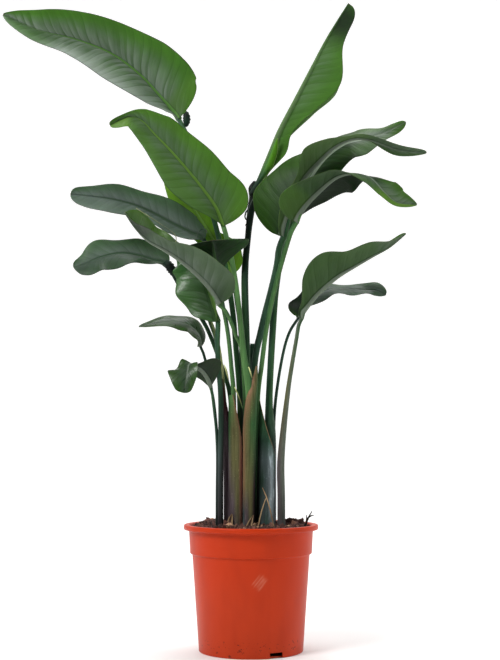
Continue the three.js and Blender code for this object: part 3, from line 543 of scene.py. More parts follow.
def turns(count):
    """Angles spread evenly over a full turn."""
    return np.arange(count) * 2 * math.pi / count


def centre_line(leaf):
    """A whole leaf's centre line: its stalk, then its rib, in millimetres."""
    return np.array([row[:3] for row in leaf["stalk"] + leaf["blade"]], float)


# Meshes

def link(name, data):
    """A new object in the scene."""
    piece = bpy.data.objects.new(name, data)
    bpy.context.scene.collection.objects.link(piece)
    return piece


def add_mesh(name, points, faces, values=None):
    """A smooth-shaded mesh object from points and faces, with named values on its points."""
    mesh = bpy.data.meshes.new(name)
    mesh.from_pydata([tuple(p) for p in points], [], [tuple(f) for f in faces])
    for key, value in (values or {}).items():
        value = np.asarray(value, np.float32)
        kind, field = ("FLOAT_VECTOR", "vector") if value.ndim == 2 else ("FLOAT", "value")
        mesh.attributes.new(key, kind, "POINT").data.foreach_set(field, value.ravel())
    mesh.shade_smooth()
    return link(name, mesh)


def sheet_faces(rows, columns):
    """Quads of a sheet with two faces and a rim: the upper points come first."""
    index = np.arange(rows * columns).reshape(rows, columns)
    under = rows * columns
    top = np.stack([index[:-1, :-1], index[:-1, 1:], index[1:, 1:], index[1:, :-1]], -1).reshape(-1, 4)
    rim = np.concatenate([index[0, :-1], index[:-1, -1], index[-1, :0:-1], index[:0:-1, 0]])
    after = np.roll(rim, -1)
    edge = np.stack([after, rim, under + rim, under + after], -1)
    return np.concatenate([top, top[:, ::-1] + under, edge]).tolist()


def sheet_mesh(name, upper, under, colour):
    """A painted shell between two grids of points."""
    points = np.concatenate([upper.reshape(-1, 3), under.reshape(-1, 3)])
    values = {"skin": np.tile(colour.reshape(-1, 3), (2, 1))}
    return add_mesh(name, points, sheet_faces(*upper.shape[:2]), values)


def ring_walls(rings, sides, corners=(0, 1, 2, 3)):
    """Quads between rings of points that lie one after another, in one order of corners."""
    index = np.arange(rings * sides).reshape(rings, sides)
    turned = np.roll(index, -1, axis=1)
    quad = (index[:-1], turned[:-1], turned[1:], index[1:])
    return np.stack([quad[k] for k in corners], -1).reshape(-1, 4).tolist()


def fan(middle, first, sides, order):
    """Triangles from a middle point to a ring, with order 1 or -1 for the way they are wound."""
    return [[middle, *(first + k, first + (k + 1) % sides)[::order]] for k in range(sides)]


def tube_faces(rings, sides):
    """Quads of a tube whose rings lie one after another, with both ends closed."""
    first = list(range(sides))
    last = [(rings - 1) * sides + k for k in first]
    return ring_walls(rings, sides) + [first[::-1], last]


def ring_points(centre, across, deep, wide, high):
    """Points of rings round a centre line, from how far each goes across and deep."""
    ring = across[:, None] * wide[..., None] + deep[:, None] * high[..., None]
    return (centre[:, None] + ring).reshape(-1, 3)


def apply_modifiers(piece):
    """Leaves a piece as the plain mesh that its modifiers make."""
    bpy.context.view_layer.update()
    evaluated = piece.evaluated_get(bpy.context.evaluated_depsgraph_get())
    mesh = bpy.data.meshes.new_from_object(evaluated)
    piece.modifiers.clear()
    piece.data = mesh
    return mesh


def dress(piece, material, node=None):
    """Gives a finished piece its material and its body, and hides the node that it stands for."""
    if material is not None:
        piece.data.materials.clear()
        piece.data.materials.append(material)
    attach(piece, "root")
    if node:
        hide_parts(node)
    return piece


# Materials

class Graph:
    """Short calls that add nodes to one tree."""

    def __init__(self, tree):
        self.tree = tree

    def node(self, kind, inputs=None, **settings):
        made = self.tree.nodes.new(kind)
        for key, value in settings.items():
            setattr(made, key, value)
        for key, value in (inputs or {}).items():
            self.put(made.inputs[key], value)
        return made

    def put(self, socket, value):
        if isinstance(value, bpy.types.NodeSocket):
            self.tree.links.new(value, socket)
        elif isinstance(value, tuple) and len(value) == 3 and socket.type == "RGBA":
            socket.default_value = (*value, 1)
        else:
            socket.default_value = value


class Shader(Graph):
    """Short calls for the nodes of one material."""

    def __init__(self, name):
        self.material = bpy.data.materials.new(name)
        self.material.use_nodes = True
        super().__init__(self.material.node_tree)
        self.surface = self.tree.nodes["Principled BSDF"]

    def set(self, **values):
        for key, value in values.items():
            self.put(self.surface.inputs[key.replace("_", " ")], value)

    def math(self, operation, first, second=0.0, third=0.0, clamp=False):
        made = self.node("ShaderNodeMath", {0: first, 1: second, 2: third}, operation=operation)
        made.use_clamp = clamp
        return made.outputs[0]

    def times(self, first, second, clamp=False):
        return self.math("MULTIPLY", first, second, clamp=clamp)

    def line(self, value, slope, offset):
        """The value times the slope, plus the offset."""
        return self.math("MULTIPLY_ADD", value, slope, offset)

    def band(self, value, low, high):
        """A soft step from 0 to 1 between low and high, or back down if low is the larger."""
        inputs = {"Value": value, "From Min": low, "From Max": high}
        return self.node("ShaderNodeMapRange", inputs, interpolation_type="SMOOTHSTEP").outputs[0]

    def mix(self, share, first, second, blend="MIX"):
        made = self.node("ShaderNodeMix", data_type="RGBA", blend_type=blend)
        self.put(made.inputs["Factor"], share)
        self.put(made.inputs[6], first)
        self.put(made.inputs[7], second)
        return made.outputs[2]

    def shaded(self, colour, amount):
        """A colour made darker or lighter by an amount, where 1 leaves it alone."""
        return self.mix(1.0, colour, self.joined(amount, amount, amount), "MULTIPLY")

    def joined(self, x=0.0, y=0.0, z=0.0):
        return self.node("ShaderNodeCombineXYZ", {0: x, 1: y, 2: z}).outputs[0]

    def parts(self, vector):
        return self.node("ShaderNodeSeparateXYZ", {0: vector}).outputs

    def value(self, name):
        """A named value that the mesh carries."""
        return self.node("ShaderNodeAttribute", attribute_name=name).outputs["Fac"]

    def vector(self, name):
        """A named vector that the mesh carries."""
        return self.node("ShaderNodeAttribute", attribute_name=name).outputs["Vector"]

    def position(self, scale=(1, 1, 1)):
        """Object coordinates, stretched."""
        place = self.node("ShaderNodeTexCoord").outputs["Object"]
        return self.node("ShaderNodeMapping", {"Vector": place, "Scale": scale}).outputs[0]

    def noise(self, vector, scale, detail=3.0, roughness=0.55):
        inputs = {"Vector": vector, "Scale": scale, "Detail": detail, "Roughness": roughness}
        return self.node("ShaderNodeTexNoise", inputs).outputs["Fac"]

    def bump(self, height, distance, strength=1.0):
        inputs = {"Height": height, "Distance": distance, "Strength": strength}
        return self.node("ShaderNodeBump", inputs).outputs[0]


def crease_shade_green(tint):
    """Painted shade: the tint's green as it looks in the shade of a crease or groove."""
    return tuple(0.35 * c for c in tint["upper"])


def leaf_green(s, tint, upper, out):
    """The greens of a blade: the upper face, its fresher outer part and the underside."""
    cloud = s.line(s.noise(s.position(), 14.0), 0.9, -0.45)
    fresh_share = s.band(s.line(out, 0.8, cloud), 0.10, 0.60)
    colour = s.mix(fresh_share, tint["upper"], tint["fresh"])
    return s.mix(s.line(upper, -0.6, 0.6), colour, tint["under"])


def leaf_bloom_and_sheen(s, tint, panels, across, out):
    """How much waxy bloom and painted sheen lie on a blade: in lanes beside the rib, and toward the near
    margin, where the pale colour paints the floor's reflection.
    """
    lanes = s.times(s.band(panels, 0.10, 0.90), tint["inner"])
    inner = s.times(s.band(out, 0.85, 0.0), lanes)
    outer = s.times(s.band(s.line(panels, 0.40, out), 0.35, 1.25), tint["near"])
    near = s.times(outer, s.band(across, -0.02, 0.02))
    return s.times(s.math("ADD", near, inner), s.value("bloom"), clamp=True)


def leaf_crease_shade(s, colour, tint, pleat, broad):
    """Painted shade: a dark line along some of the side veins, where the pleats crease."""
    fold = s.math("ABSOLUTE", s.math("SINE", s.times(pleat, math.pi)))
    crease = s.times(s.band(fold, 0.20, 0.0), s.band(broad, 0.40, 0.60))
    return s.mix(s.times(crease, 0.2 + 0.25 * tint["pleats"]), colour, crease_shade_green(tint))


def leaf_tone_light_and_shade(s, colour):
    """The leaf's lighter and darker parts: painted light where light shines through a part, painted shade
    where a part lies in shadow, and some of the leaf's own lighter and darker green.
    """
    tone = s.value("tone")
    colour = s.mix(s.times(tone, 0.9, clamp=True), colour, LIGHTER_AND_LIT_PART)
    return s.mix(s.times(tone, -1.0, clamp=True), colour, DARKER_AND_SHADED_PART)


def leaf_rib(s, colour, tint, upper, reach):
    """The rib's own colour, fading before the tip, and a thin dark line of painted shade on both sides of
    it, in the groove beside it.
    """
    rib = s.math("DIVIDE", s.value("rib"), s.line(upper, -0.2, 1.1))
    fading = s.line(s.band(reach, 0.60, 0.97), -0.85, 1.0)
    # Painted shade in the groove along both sides of the rib
    groove = s.times(s.band(rib, 0.8, 1.05), s.band(rib, 1.5, 1.05))
    colour = s.mix(s.times(groove, 0.4), colour, crease_shade_green(tint))
    return s.mix(s.times(s.band(rib, 1.0, 0.72), fading), colour, tint["rib"])


def leaf_material(tint_name):
    """Green leaf skin: panels between the side veins with painted shade across them, grey bloom with
    painted sheen, painted shade in the creases and beside the rib, painted light and shade on some
    parts, a fresher outer part and the rib.
    """
    tint = TINTS[tint_name]
    s = Shader("leaf_" + tint_name)
    across, pleat, reach = s.parts(s.vector("blade_space"))
    upper = s.value("upper")
    out = s.math("ABSOLUTE", across)
    lane = s.joined(pleat, s.times(across, 0.6), upper)
    broad, middle, fine = s.noise(lane, 0.45, 2.0), s.noise(lane, 1.9, 3.0), s.noise(lane, 9.0, 2.0)
    slope = s.line(s.math("FRACT", pleat), 0.35, s.line(middle, 0.9, -0.62))
    panels = s.line(slope, tint["pleats"], 0.5)
    colour = leaf_green(s, tint, upper, out)
    # Bloom, partly waxy and partly painted sheen, with the floor's reflection painted on the near half
    colour = s.mix(leaf_bloom_and_sheen(s, tint, panels, across, out), colour, tint["bloom"])
    # Painted shade across each panel between the side veins, darkest at one end, over random broad patches
    shade = s.line(panels, 0.55, s.line(fine, 0.30, 0.58))
    colour = s.shaded(colour, s.line(broad, 0.5, s.math("ADD", shade, -0.25)))
    colour = leaf_crease_shade(s, colour, tint, pleat, broad)
    margin = s.times(s.band(out, 0.975, 0.995), 0.8)
    colour = leaf_tone_light_and_shade(s, s.mix(margin, colour, tint["edge"]))
    colour = leaf_rib(s, colour, tint, upper, reach)
    dry_tip = s.times(s.band(reach, 0.99, 1.0), 0.7)
    colour = s.mix(dry_tip, colour, DRY_TIP)
    rough = s.line(middle, 0.14, s.line(upper, -0.26, tint["gloss"] + 0.24))
    height = s.line(fine, 0.5, s.times(middle, 1.2))
    s.set(Base_Color=colour, Roughness=rough, Normal=s.bump(height, 0.0006))
    s.set(Specular_IOR_Level=tint["shine"], Coat_Weight=tint["coat"], Coat_Roughness=0.16)
    s.set(Subsurface_Weight=0.10, Subsurface_Radius=(0.6, 1.0, 0.2), Subsurface_Scale=0.003)
    return s.material


def skin_patches(s, broad):
    """Pale mottling, where the skin is frosted and just above the soil."""
    mottle = s.noise(s.position((1, 1, 0.16)), 230.0, 4.0)
    height = s.parts(s.position())[2]
    foot = s.times(s.band(s.line(broad, 0.08, height), 0.30, 0.25), 0.8)
    frosted = s.math("MAXIMUM", s.band(s.parts(s.vector("skin"))[2], 0.05, 0.20), foot)
    patches = s.times(s.band(mottle, 0.48, 0.62), frosted)
    return s.line(s.band(broad, 0.55, 0.75), 0.3, patches)


def skin_material(name, streak_scale, rough, speckle):
    """Skin of stalks and sheaths: painted tones, long streaks, small light dots and pale patches."""
    s = Shader(name)
    streak = s.noise(s.position((1, 1, 0.05)), streak_scale, 4.0)
    broad = s.noise(s.position((1, 1, 0.35)), 42.0)
    dots = s.noise(s.position((1, 1, 0.5)), 620.0, 2.0)
    colour = s.shaded(s.vector("skin"), s.line(streak, 1.3, 0.38))
    colour = s.shaded(colour, s.line(skin_patches(s, broad), 2.0 * speckle, 0.9))
    colour = s.mix(s.times(s.band(broad, 0.42, 0.25), 0.45), colour, DARK_SKIN)
    colour = s.shaded(colour, s.line(s.band(dots, 0.64, 0.74), 2.0 * speckle, 1.0))
    gloss = s.line(streak, 0.2, rough)
    s.set(Base_Color=colour, Roughness=gloss, Normal=s.bump(streak, 0.0006, 0.7))
    s.set(Specular_IOR_Level=0.10)
    return s.material


def soil_material(name, dark, light, chip):
    """Damp peat and bark: dark grains, and some pieces in the colour of fresh chips."""
    s = Shader(name)
    tone = s.value("chip_tone")
    grain = s.noise(s.position(), 420.0, 6.0, 0.7)
    colour = s.mix(grain, dark, light)
    colour = s.mix(s.times(s.band(tone, 0.80, 0.95), 0.8), colour, chip)
    per_grain = s.math("FRACT", s.times(tone, 7.0))
    colour = s.shaded(colour, s.line(per_grain, 1.3, 0.35))
    s.set(Base_Color=colour, Roughness=0.85, Normal=s.bump(grain, 0.0015))
    return s.material


def scuff_mask(s, x, y, z):
    """A few slanted strokes, rubbed into the front of the wall."""
    along_stroke = s.math("ADD", s.times(x, 0.62), s.times(z, 0.78))
    over_stroke = s.math("SUBTRACT", s.times(x, 0.78), s.times(z, 0.62))
    worn = s.noise(s.joined(over_stroke), 300.0, 1.0)
    stroke_place = s.math("ABSOLUTE", s.math("ADD", along_stroke, -SCUFF_ALONG))
    length = s.band(stroke_place, s.line(worn, -0.014, 0.0225), 0.0060)
    width = s.band(s.math("ABSOLUTE", s.math("ADD", over_stroke, -SCUFF_ACROSS)), 0.0100, 0.0080)
    lane = s.joined(s.times(over_stroke, 260.0), s.times(along_stroke, 18.0))
    strokes = s.line(s.band(s.noise(lane, 1.0, 3.0), 0.42, 0.62), 0.75, 0.25)
    front = s.band(y, -0.05, -0.07)
    return s.times(s.times(length, width), s.times(strokes, front))


def soil_specks(s, place, z):
    """Specks and splashes of soil low on the wall."""
    near_foot = s.times(s.band(z, 0.036, 0.020), s.band(z, 0.006, 0.014))
    dirt = s.times(s.band(s.noise(place, 310.0, 2.0), 0.66, 0.69), near_foot)
    splash = s.times(s.band(s.noise(place, 95.0, 3.0), 0.64, 0.70), s.band(z, 0.05, 0.02))
    return s.math("MAXIMUM", dirt, s.times(splash, 0.6))


def pot_material(looks):
    """Injection-moulded terracotta-coloured plastic with faint flow, a scuff, specks of soil and a paler
    lower wall that paints the floor's reflection.
    """
    s = Shader("terracotta_plastic")
    place = s.position()
    broad, fine = s.noise(place, 7.0, 2.0), s.noise(place, 900.0, 2.0)
    x, y, z = s.parts(place)
    # Painted reflection of the floor: the lower wall is paler and chalkier
    lower = s.band(s.line(broad, 0.14, z), 0.24, 0.08)
    colour = s.mix(s.times(lower, 0.55), tuple(looks.pot_colour), FLOOR_REFLECTION)
    flow = s.noise(s.joined(s.math("ARCTAN2", y, x), s.times(z, 3.0)), 2.5, 2.0)
    colour = s.mix(s.times(s.band(flow, 0.42, 0.75), 0.30), colour, FLOW_MARK)
    colour = s.mix(s.times(scuff_mask(s, x, y, z), 0.42), colour, SCUFF)
    colour = s.mix(soil_specks(s, place, z), colour, WALL_DIRT)
    rough = s.line(fine, 0.08, s.line(broad, 0.10, 0.31))
    s.set(Base_Color=colour, Roughness=rough, Normal=s.bump(fine, 0.0001, 0.5))
    s.set(Specular_IOR_Level=0.13)
    return s.material


# Leaves and stalks

def blade_rows(leaf):
    """The blade's rows, where a row without roll and fold takes those of the row before."""
    rows = [leaf["blade"][0]]
    for row in leaf["blade"][1:]:
        rows.append(row if len(row) == 7 else row + rows[-1][5:])
    return rows


def rounded_end(v, blunt):
    """How a blade rounds off where it leaves the stalk and at its tip."""
    base = np.clip(v / END_SHARE, 0, 1)
    tip = np.clip((1 - v) / END_SHARE, 0, 1)
    return np.maximum(blunt, np.sqrt(1 - (1 - base) ** 2) * np.sqrt(1 - (1 - tip) ** 2))


def blade_directions(leaf, path, s, roll):
    """The upper face and the near side at places along the rib."""
    tangent = tangents(path, s)
    raised = unit(np.cross(tangent, (0.0, leaf["lean"], 0.0)))
    front = np.cross(tangent, raised) * leaf["lean"]
    angle = np.radians(roll)[:, None]
    face = raised * np.cos(angle) + front * np.sin(angle)
    near = front * np.cos(angle) - raised * np.sin(angle)
    return face, near


def rib_width(leaf, v):
    """The rib's half width: as wide as the stalk at the base and thin at the tip."""
    widest = leaf["stalk"][-1][3]
    return (widest * (1 - v) ** 0.8 * 0.95 + 0.9) * MM


def rib_places(leaf, v):
    """Places along the whole centre line, counted in rows, for shares of the blade."""
    return len(leaf["stalk"]) + INSIDE * v * (len(leaf["blade"]) - 1)


def pleat_phase(leaf, v, distance, width):
    """Counts the side veins: they leave the rib at a slant and bend outward."""
    lengths = np.linalg.norm(np.diff(along(centre_line(leaf), rib_places(leaf, v)), axis=0), axis=1)
    run = np.concatenate([[0], np.cumsum(lengths)])[:, None] * MM
    share = distance / width
    slant = 0.014 * (1 - np.exp(-distance / 0.012)) + 0.35 * distance + 0.008 * share ** 4
    count = (run - slant) / PLEAT_SPACING
    return count + 0.25 * np.sin(0.9 * count) + 0.12 * np.sin(2.3 * count + 1)


def part_values(leaf, v, share):
    """The tone, with its painted light and shade, and the bloom, with its painted sheen, over a blade,
    from the leaf's list of parts.
    """
    tone, bloom = np.zeros(share.shape), np.ones(share.shape)
    for side, begin, end, amount, times in leaf["parts"]:
        begun = smooth_step(begin - PART_BLEND, begin + PART_BLEND, v)
        ended = smooth_step(end - PART_BLEND, end + PART_BLEND, v)
        cover = (begun * (1 - ended))[:, None] * smooth_step(-0.03, 0.05, side * share)
        tone = tone + amount * cover
        bloom = bloom + (times - 1) * cover
    return tone, np.maximum(bloom, 0)


def blade_half(leaf, v, frames, side, width, shift):
    """Points of one half, with their shares of the half's width and of the rib's, and their phase."""
    centre, face, near, lift, ends = frames
    width = np.maximum(width * ends * MM, NARROWEST_HALF)[:, None]
    rib = np.minimum(rib_width(leaf, v)[:, None], width / RIB_LIMIT)
    begin = RIB_COLUMNS[-1] * rib
    panel = np.linspace(0, 1, PANEL_COLUMNS + 1)[1:]
    distance = np.concatenate([rib * np.array(RIB_COLUMNS), begin + (width - begin) * panel], 1)
    share = distance / width
    ripple = leaf["wave"] * MM * share ** 2 * np.sin(v * WAVES + shift)[:, None] * ends[:, None]
    bulge = BULGE * share * (1 - share) * width
    rise = (distance * np.sin(lift) + ripple + bulge)[..., None]
    flat = (distance * np.cos(lift))[..., None]
    points = centre[:, None] + near[:, None] * side * flat + face[:, None] * rise
    return points, side * share, distance / rib, pleat_phase(leaf, v, distance, width) + shift


def blade_surface(leaf, v, ends):
    """The whole blade from the far margin over the rib to the near margin, as its halves give it."""
    path = centre_line(leaf)
    place = rib_places(leaf, v)
    centre = along(path, place) * MM
    rows = along(blade_rows(leaf), v * (len(leaf["blade"]) - 1))
    near_width, far_width, roll, fold = rows[:, 3:7].T
    face, near = blade_directions(leaf, path, place, roll)
    frames = centre, face, near, np.radians(fold)[:, None], ends
    far_half = blade_half(leaf, v, frames, -1, far_width, FAR_SHIFT)
    near_half = blade_half(leaf, v, frames, 1, near_width, 0.0)
    zero = np.zeros((len(v), 1))
    middle = (centre[:, None], zero, zero, far_half[3][:, :1])
    halves = zip(far_half, middle, near_half)
    return [np.concatenate([far[:, ::-1], rib, close], 1) for far, rib, close in halves]


def pleats(phase, edge, rib_share, ends):
    """How far the side veins raise or sink the blade, from about -1 to 1."""
    pleat = (np.abs(np.sin(math.pi * phase)) - 0.6) * (0.65 + 0.35 * np.sin(1.7 * phase + 2 * edge))
    pleat = pleat + 0.3 * np.sin(4.4 * math.pi * phase)
    soft = smooth_step(1.0, 3.0, rib_share) * (1 - smooth_step(0.75, 1.0, edge)) * ends[:, None]
    return pleat * soft


def blade_thickness(lean, v, edge, rib_share):
    """How far the sheets 1 and -1 lie from the middle of the blade, with the keel and the groove."""
    half_thick = (0.5 - 0.2 * edge) * MM
    keel_depth = np.interp(v, KEEL_PLACES, KEEL_DEPTHS)[:, None]
    keel = keel_depth * np.sqrt(np.clip(1 - rib_share ** 2, 0, 1))
    groove = GROOVE_DEPTH * np.clip(1 - (rib_share / 0.7) ** 2, 0, 1)
    return {lean: half_thick - groove, -lean: half_thick + keel}


def blade_piece(name, leaf, material):
    """One blade: a thin pleated shell with a keel under its rib and a groove above it."""
    v = np.linspace(0, 1, BLADE_ROWS)
    ends = INSIDE * rounded_end(v, leaf.get("blunt", 0.04))
    points, share, rib_share, phase = blade_surface(leaf, v, ends)
    edge = np.abs(share)
    normal = unit(np.cross(np.gradient(points, axis=1), np.gradient(points, axis=0)))
    height = PLEAT_HEIGHT * TINTS[leaf["tint"]]["pleats"]
    points = points + normal * (height * pleats(phase, edge, rib_share, ends))[..., None]
    thick = blade_thickness(leaf["lean"], v, edge, rib_share)
    sheets = [(points + side * normal * thick[side][..., None]).reshape(-1, 3) for side in (1, -1)]
    tone, bloom = part_values(leaf, v, share)
    space = np.stack([share, phase, np.broadcast_to(v[:, None], share.shape)], -1).reshape(-1, 3)
    values = {
        # The tone carries painted light and painted shade as well as the leaf's own lighter and darker
        # green
        "tone": np.tile(tone.ravel(), 2),
        "bloom": np.tile(bloom.ravel(), 2),
        "blade_space": np.concatenate([space, space]),
        "rib": np.tile(rib_share.ravel(), 2),
        "upper": np.repeat([leaf["lean"] > 0, leaf["lean"] < 0], share.size),
    }
    piece = add_mesh("leaf_" + name, np.concatenate(sheets), sheet_faces(*share.shape), values)
    return dress(piece, material, "blade_" + name)


def painted(tones, height, share):
    """Skin colours blended over the height and over the width, where the share runs from -1 to 1."""
    levels = [level for level, _ in tones]
    table = np.array([[SKINS[name] for name in names.split()] for _, names in tones])
    row = np.interp(height / MM, levels, np.arange(len(levels)))
    column = np.clip((share + 1) / 2, 0, 1) * (table.shape[1] - 1)
    low_row = np.minimum(row.astype(int), len(levels) - 2)
    low_column = np.minimum(column.astype(int), table.shape[1] - 2)
    up = (row - low_row)[..., None]
    right = smooth_step(0, 1, column - low_column)[..., None]
    lower, upper = (
        table[low_row + k, low_column] * (1 - right) + table[low_row + k, low_column + 1] * right
        for k in (0, 1)
    )
    return lower * (1 - up) + upper * up


def stalk_width(leaf, s, run_on):
    """A stalk's half width at places along it, narrowing where it runs on under the blade."""
    spans = len(leaf["stalk"])
    widths = np.array([[row[3]] for row in leaf["stalk"]], float)
    width = np.where(s < spans - 1, along(widths, np.minimum(s, spans - 1))[:, 0], widths[-1, 0]) * MM
    return width * (1 - 0.35 * np.clip((s - spans) / run_on, 0, 1))


def stalk_roundness(angle, height, face, across, deep):
    """How far a stalk's skin is from its centre at each angle: a channel dents its upper side."""
    channel = np.arctan2((face * deep).sum(1), (face * across).sum(1))[:, None]
    apart = np.abs((angle - channel + math.pi) % (2 * math.pi) - math.pi)
    return 1 - 0.28 * np.exp(-(apart / 0.45) ** 2) * smooth_step(0.3, 0.5, height)


def stalk_piece(name, leaf, material):
    """One stalk: an oval tube with a channel, which runs on under the blade as its rib."""
    path = centre_line(leaf)
    spans = len(leaf["stalk"])
    run_on = RUN_ON * (len(leaf["blade"]) - 1)
    s = np.linspace(0, spans + run_on, spans * RINGS_PER_SPAN)
    centre = along(path, s) * MM
    tangent = tangents(path, s)
    width = stalk_width(leaf, s, run_on)
    flat = 0.62 + 0.28 * np.clip((centre[:, 2] - 0.25) / 0.25, 0, 1)
    face, _ = blade_directions(leaf, path, s, np.full(len(s), float(leaf["blade"][0][5])))
    sink = smooth_step(spans - 0.6, spans + 0.4 * run_on, s) * width
    centre = centre - face * sink[:, None]
    across = unit(np.stack([tangent[:, 2], 0 * s, -tangent[:, 0]], 1))
    deep = np.cross(tangent, across)
    angle = turns(STALK_SIDES)[None]
    dent = stalk_roundness(angle, centre[:, 2:3], face, across, deep)
    cos, sin = np.cos(angle) * dent, np.sin(angle) * dent
    points = ring_points(centre, across, deep, width[:, None] * cos, (width * flat)[:, None] * sin)
    height = np.broadcast_to(centre[:, 2:3], cos.shape)
    values = {"skin": painted(STALK_SKINS[name], height, cos).reshape(-1, 3)}
    piece = add_mesh("petiole_" + name, points, tube_faces(len(s), STALK_SIDES), values)
    return dress(piece, material, "stalk_" + name)


def sheath_piece(name, sheath, material):
    """A thin shell wrapped round the front of some stalks, with slanting margins toward its tip."""
    rows = resampled(sheath["rows"], SHEATH_ROWS)
    x, y, z, half, deep, left, right = (column[:, None] for column in rows.T)
    t = np.linspace(0, 1, SHEATH_COLUMNS)[None]
    start, end = np.arcsin(np.clip(left, -1, 1)), np.arcsin(np.clip(right, -1, 1))
    angle = start + (end - start) * t
    across, front = np.sin(angle), np.cos(angle)
    ribbing = 0.12 * np.sin(angle * 23) + 0.10 * np.sin(angle * 41 + z / 40)
    out = unit(np.stack([across / half, -front / deep, 0 * across], -1))
    centre = np.stack([x + half * across, y - deep * front, z + 0 * across], -1)
    centre = centre + out * ribbing[..., None]
    half_thick = out * ((0.6 - 0.35 * np.abs(2 * t - 1) ** 3) * np.ones_like(across))[..., None]
    colour = painted(sheath["tones"], z * MM + 0 * across, across)
    for margin, skin in zip((t, 1 - t), sheath["margins"]):
        close = 1 - smooth_step(0.4, 1.3, margin * (end - start) * half)
        colour = colour + (np.array(SKINS[skin]) - colour) * close[..., None]
    piece = sheet_mesh("sheath_" + name, (centre + half_thick) * MM, (centre - half_thick) * MM, colour)
    return dress(piece, material)


def rod_piece(name, rod, material):
    """A thin round or flattened rod through a few points."""
    count = RINGS_PER_ROD_SPAN * (len(rod["rows"]) - 1) + 1
    rows = resampled(rod["rows"], count) * MM
    centre, width = rows[:, :3], np.maximum(rows[:, 3:], 0.15 * MM)
    tangent = unit(np.gradient(centre, axis=0))
    across = unit(np.cross(tangent, (0.0, 1.0, 0.0)))
    deep = np.cross(tangent, across)
    angle = turns(ROD_SIDES)[None]
    knotty = 1 + 0.10 * np.sin(3 * angle + 40 * np.arange(count)[:, None] / count)
    wide, high = width * np.cos(angle) * knotty, width * rod["flat"] * np.sin(angle) * knotty
    skins = np.array([SKINS[skin] for skin in rod["skins"].split()])
    place = np.linspace(0, len(skins) - 1, count)
    colour = np.stack([np.interp(place, np.arange(len(skins)), skins[:, k]) for k in range(3)], -1)
    values = {"skin": np.repeat(colour, ROD_SIDES, axis=0)}
    points = ring_points(centre, across, deep, wide, high)
    piece = add_mesh(name, points, tube_faces(count, ROD_SIDES), values)
    return dress(piece, material, rod.get("node"))


def scrap_piece(name, scrap, material):
    """A dry, curled scrap of sheath that sticks out of the soil."""
    rows = resampled(scrap["rows"], SCRAP_ROWS) * MM
    x, y, z, half = (column[:, None] for column in rows.T)
    t = np.linspace(-1, 1, SCRAP_COLUMNS)[None]
    curl = 0.45 * t ** 2 + 0.08 * np.sin(7 * t + 300 * z)
    front = np.stack([x + half * t, y - half * curl, z + 0.12 * half * np.sin(5 * t)], -1)
    behind = front + np.array([0, 0.5 * MM, 0])
    rim = smooth_step(0.35, 0.8, np.abs(t))[..., None]
    colour = np.array(SKINS["bark"]) * (1 - rim) + np.array(SKINS["straw"]) * rim + 0 * x[..., None]
    return dress(sheet_mesh(name, front, behind, colour), material, scrap.get("node"))


# The pot and the soil

def lathe(name, profile, segments):
    """A closed turned piece from (radius, height) points that start and end on the axis."""
    angle = turns(segments)
    rings = [np.stack([radius * np.cos(angle), radius * np.sin(angle), np.full(segments, height)], -1)
             for radius, height in profile[1:-1]]
    ends = [(0, 0, profile[0][1]), (0, 0, profile[-1][1])]
    first = len(rings) * segments
    faces = ring_walls(len(rings), segments) + fan(first, 0, segments, -1)
    faces += fan(first + 1, first - segments, segments, 1)
    return add_mesh(name, np.concatenate([*rings, ends]), faces)


def around(radius, count, start=0.0):
    """Turns and places spread evenly round the pot's axis, level with its underside."""
    spread = [start + k * 2 * math.pi / count for k in range(count)]
    return [(turn, (radius * math.cos(turn), radius * math.sin(turn), 0)) for turn in spread]


def box_tool(centre, size, turn):
    """A box that a boolean takes away."""
    bpy.ops.mesh.primitive_cube_add(size=1)
    tool = bpy.context.object
    tool.location, tool.scale, tool.rotation_euler = centre, size, (0, 0, turn)
    return tool


def drain_tool(centre, radius):
    """A short cylinder that a boolean takes away."""
    bpy.ops.mesh.primitive_cylinder_add(
        radius=radius, depth=DRAIN_DEPTH, vertices=DRAIN_SIDES, location=centre)
    return bpy.context.object


def cut(piece, tools):
    """Takes each tool away from a piece and leaves a plain mesh."""
    for tool in tools:
        boolean = piece.modifiers.new("cut", "BOOLEAN")
        boolean.operation, boolean.solver, boolean.object = "DIFFERENCE", "EXACT", tool
    mesh = apply_modifiers(piece)
    for tool in tools:
        bpy.data.objects.remove(tool)
    mesh.shade_smooth()
    mesh.set_sharp_from_angle(angle=SHARP_ANGLE)


def pot_piece(looks):
    """The pot: rolled lip, band, step, tapering wall, notches round the foot and drain holes."""
    piece = lathe("plant_pot", [(r * MM, z * MM) for r, z in POT_PROFILE], POT_SEGMENTS)
    notch = (NOTCH_DEPTH, NOTCH_WIDTH, 2 * NOTCH_HEIGHT)
    notches = around(FOOT_RADIUS, NOTCH_COUNT, NOTCH_START)
    tools = [box_tool(place, notch, turn) for turn, place in notches]
    tools += [drain_tool(place, DRAIN_RADIUS) for _, place in around(DRAIN_REACH, DRAIN_COUNT)]
    cut(piece, tools)
    return dress(piece, pot_material(looks), "pot")


def soil_height(x, y):
    """The height of the soil's uneven top, in metres."""
    x, y = x / MM, y / MM
    swell = np.sin(x / 17 + 0.6) * np.cos(y / 21 - 0.4) + 0.6 * np.sin((x + 2 * y) / 13)
    lumps = 1.2 * np.sin(x / 4.1 + 2 * np.sin(y / 5.3)) * np.cos(y / 3.7)
    mound = 1 - np.hypot(x, y) / MOUND_RADIUS
    for heap_x, heap_y, height in HEAPS:
        mound = mound + height / 5 * np.exp(-((x - heap_x) ** 2 + (y - heap_y) ** 2) / HEAP_RADIUS ** 2)
    return SOIL_LEVEL + (5 * (0.6 * swell + mound) + lumps - 1) * MM


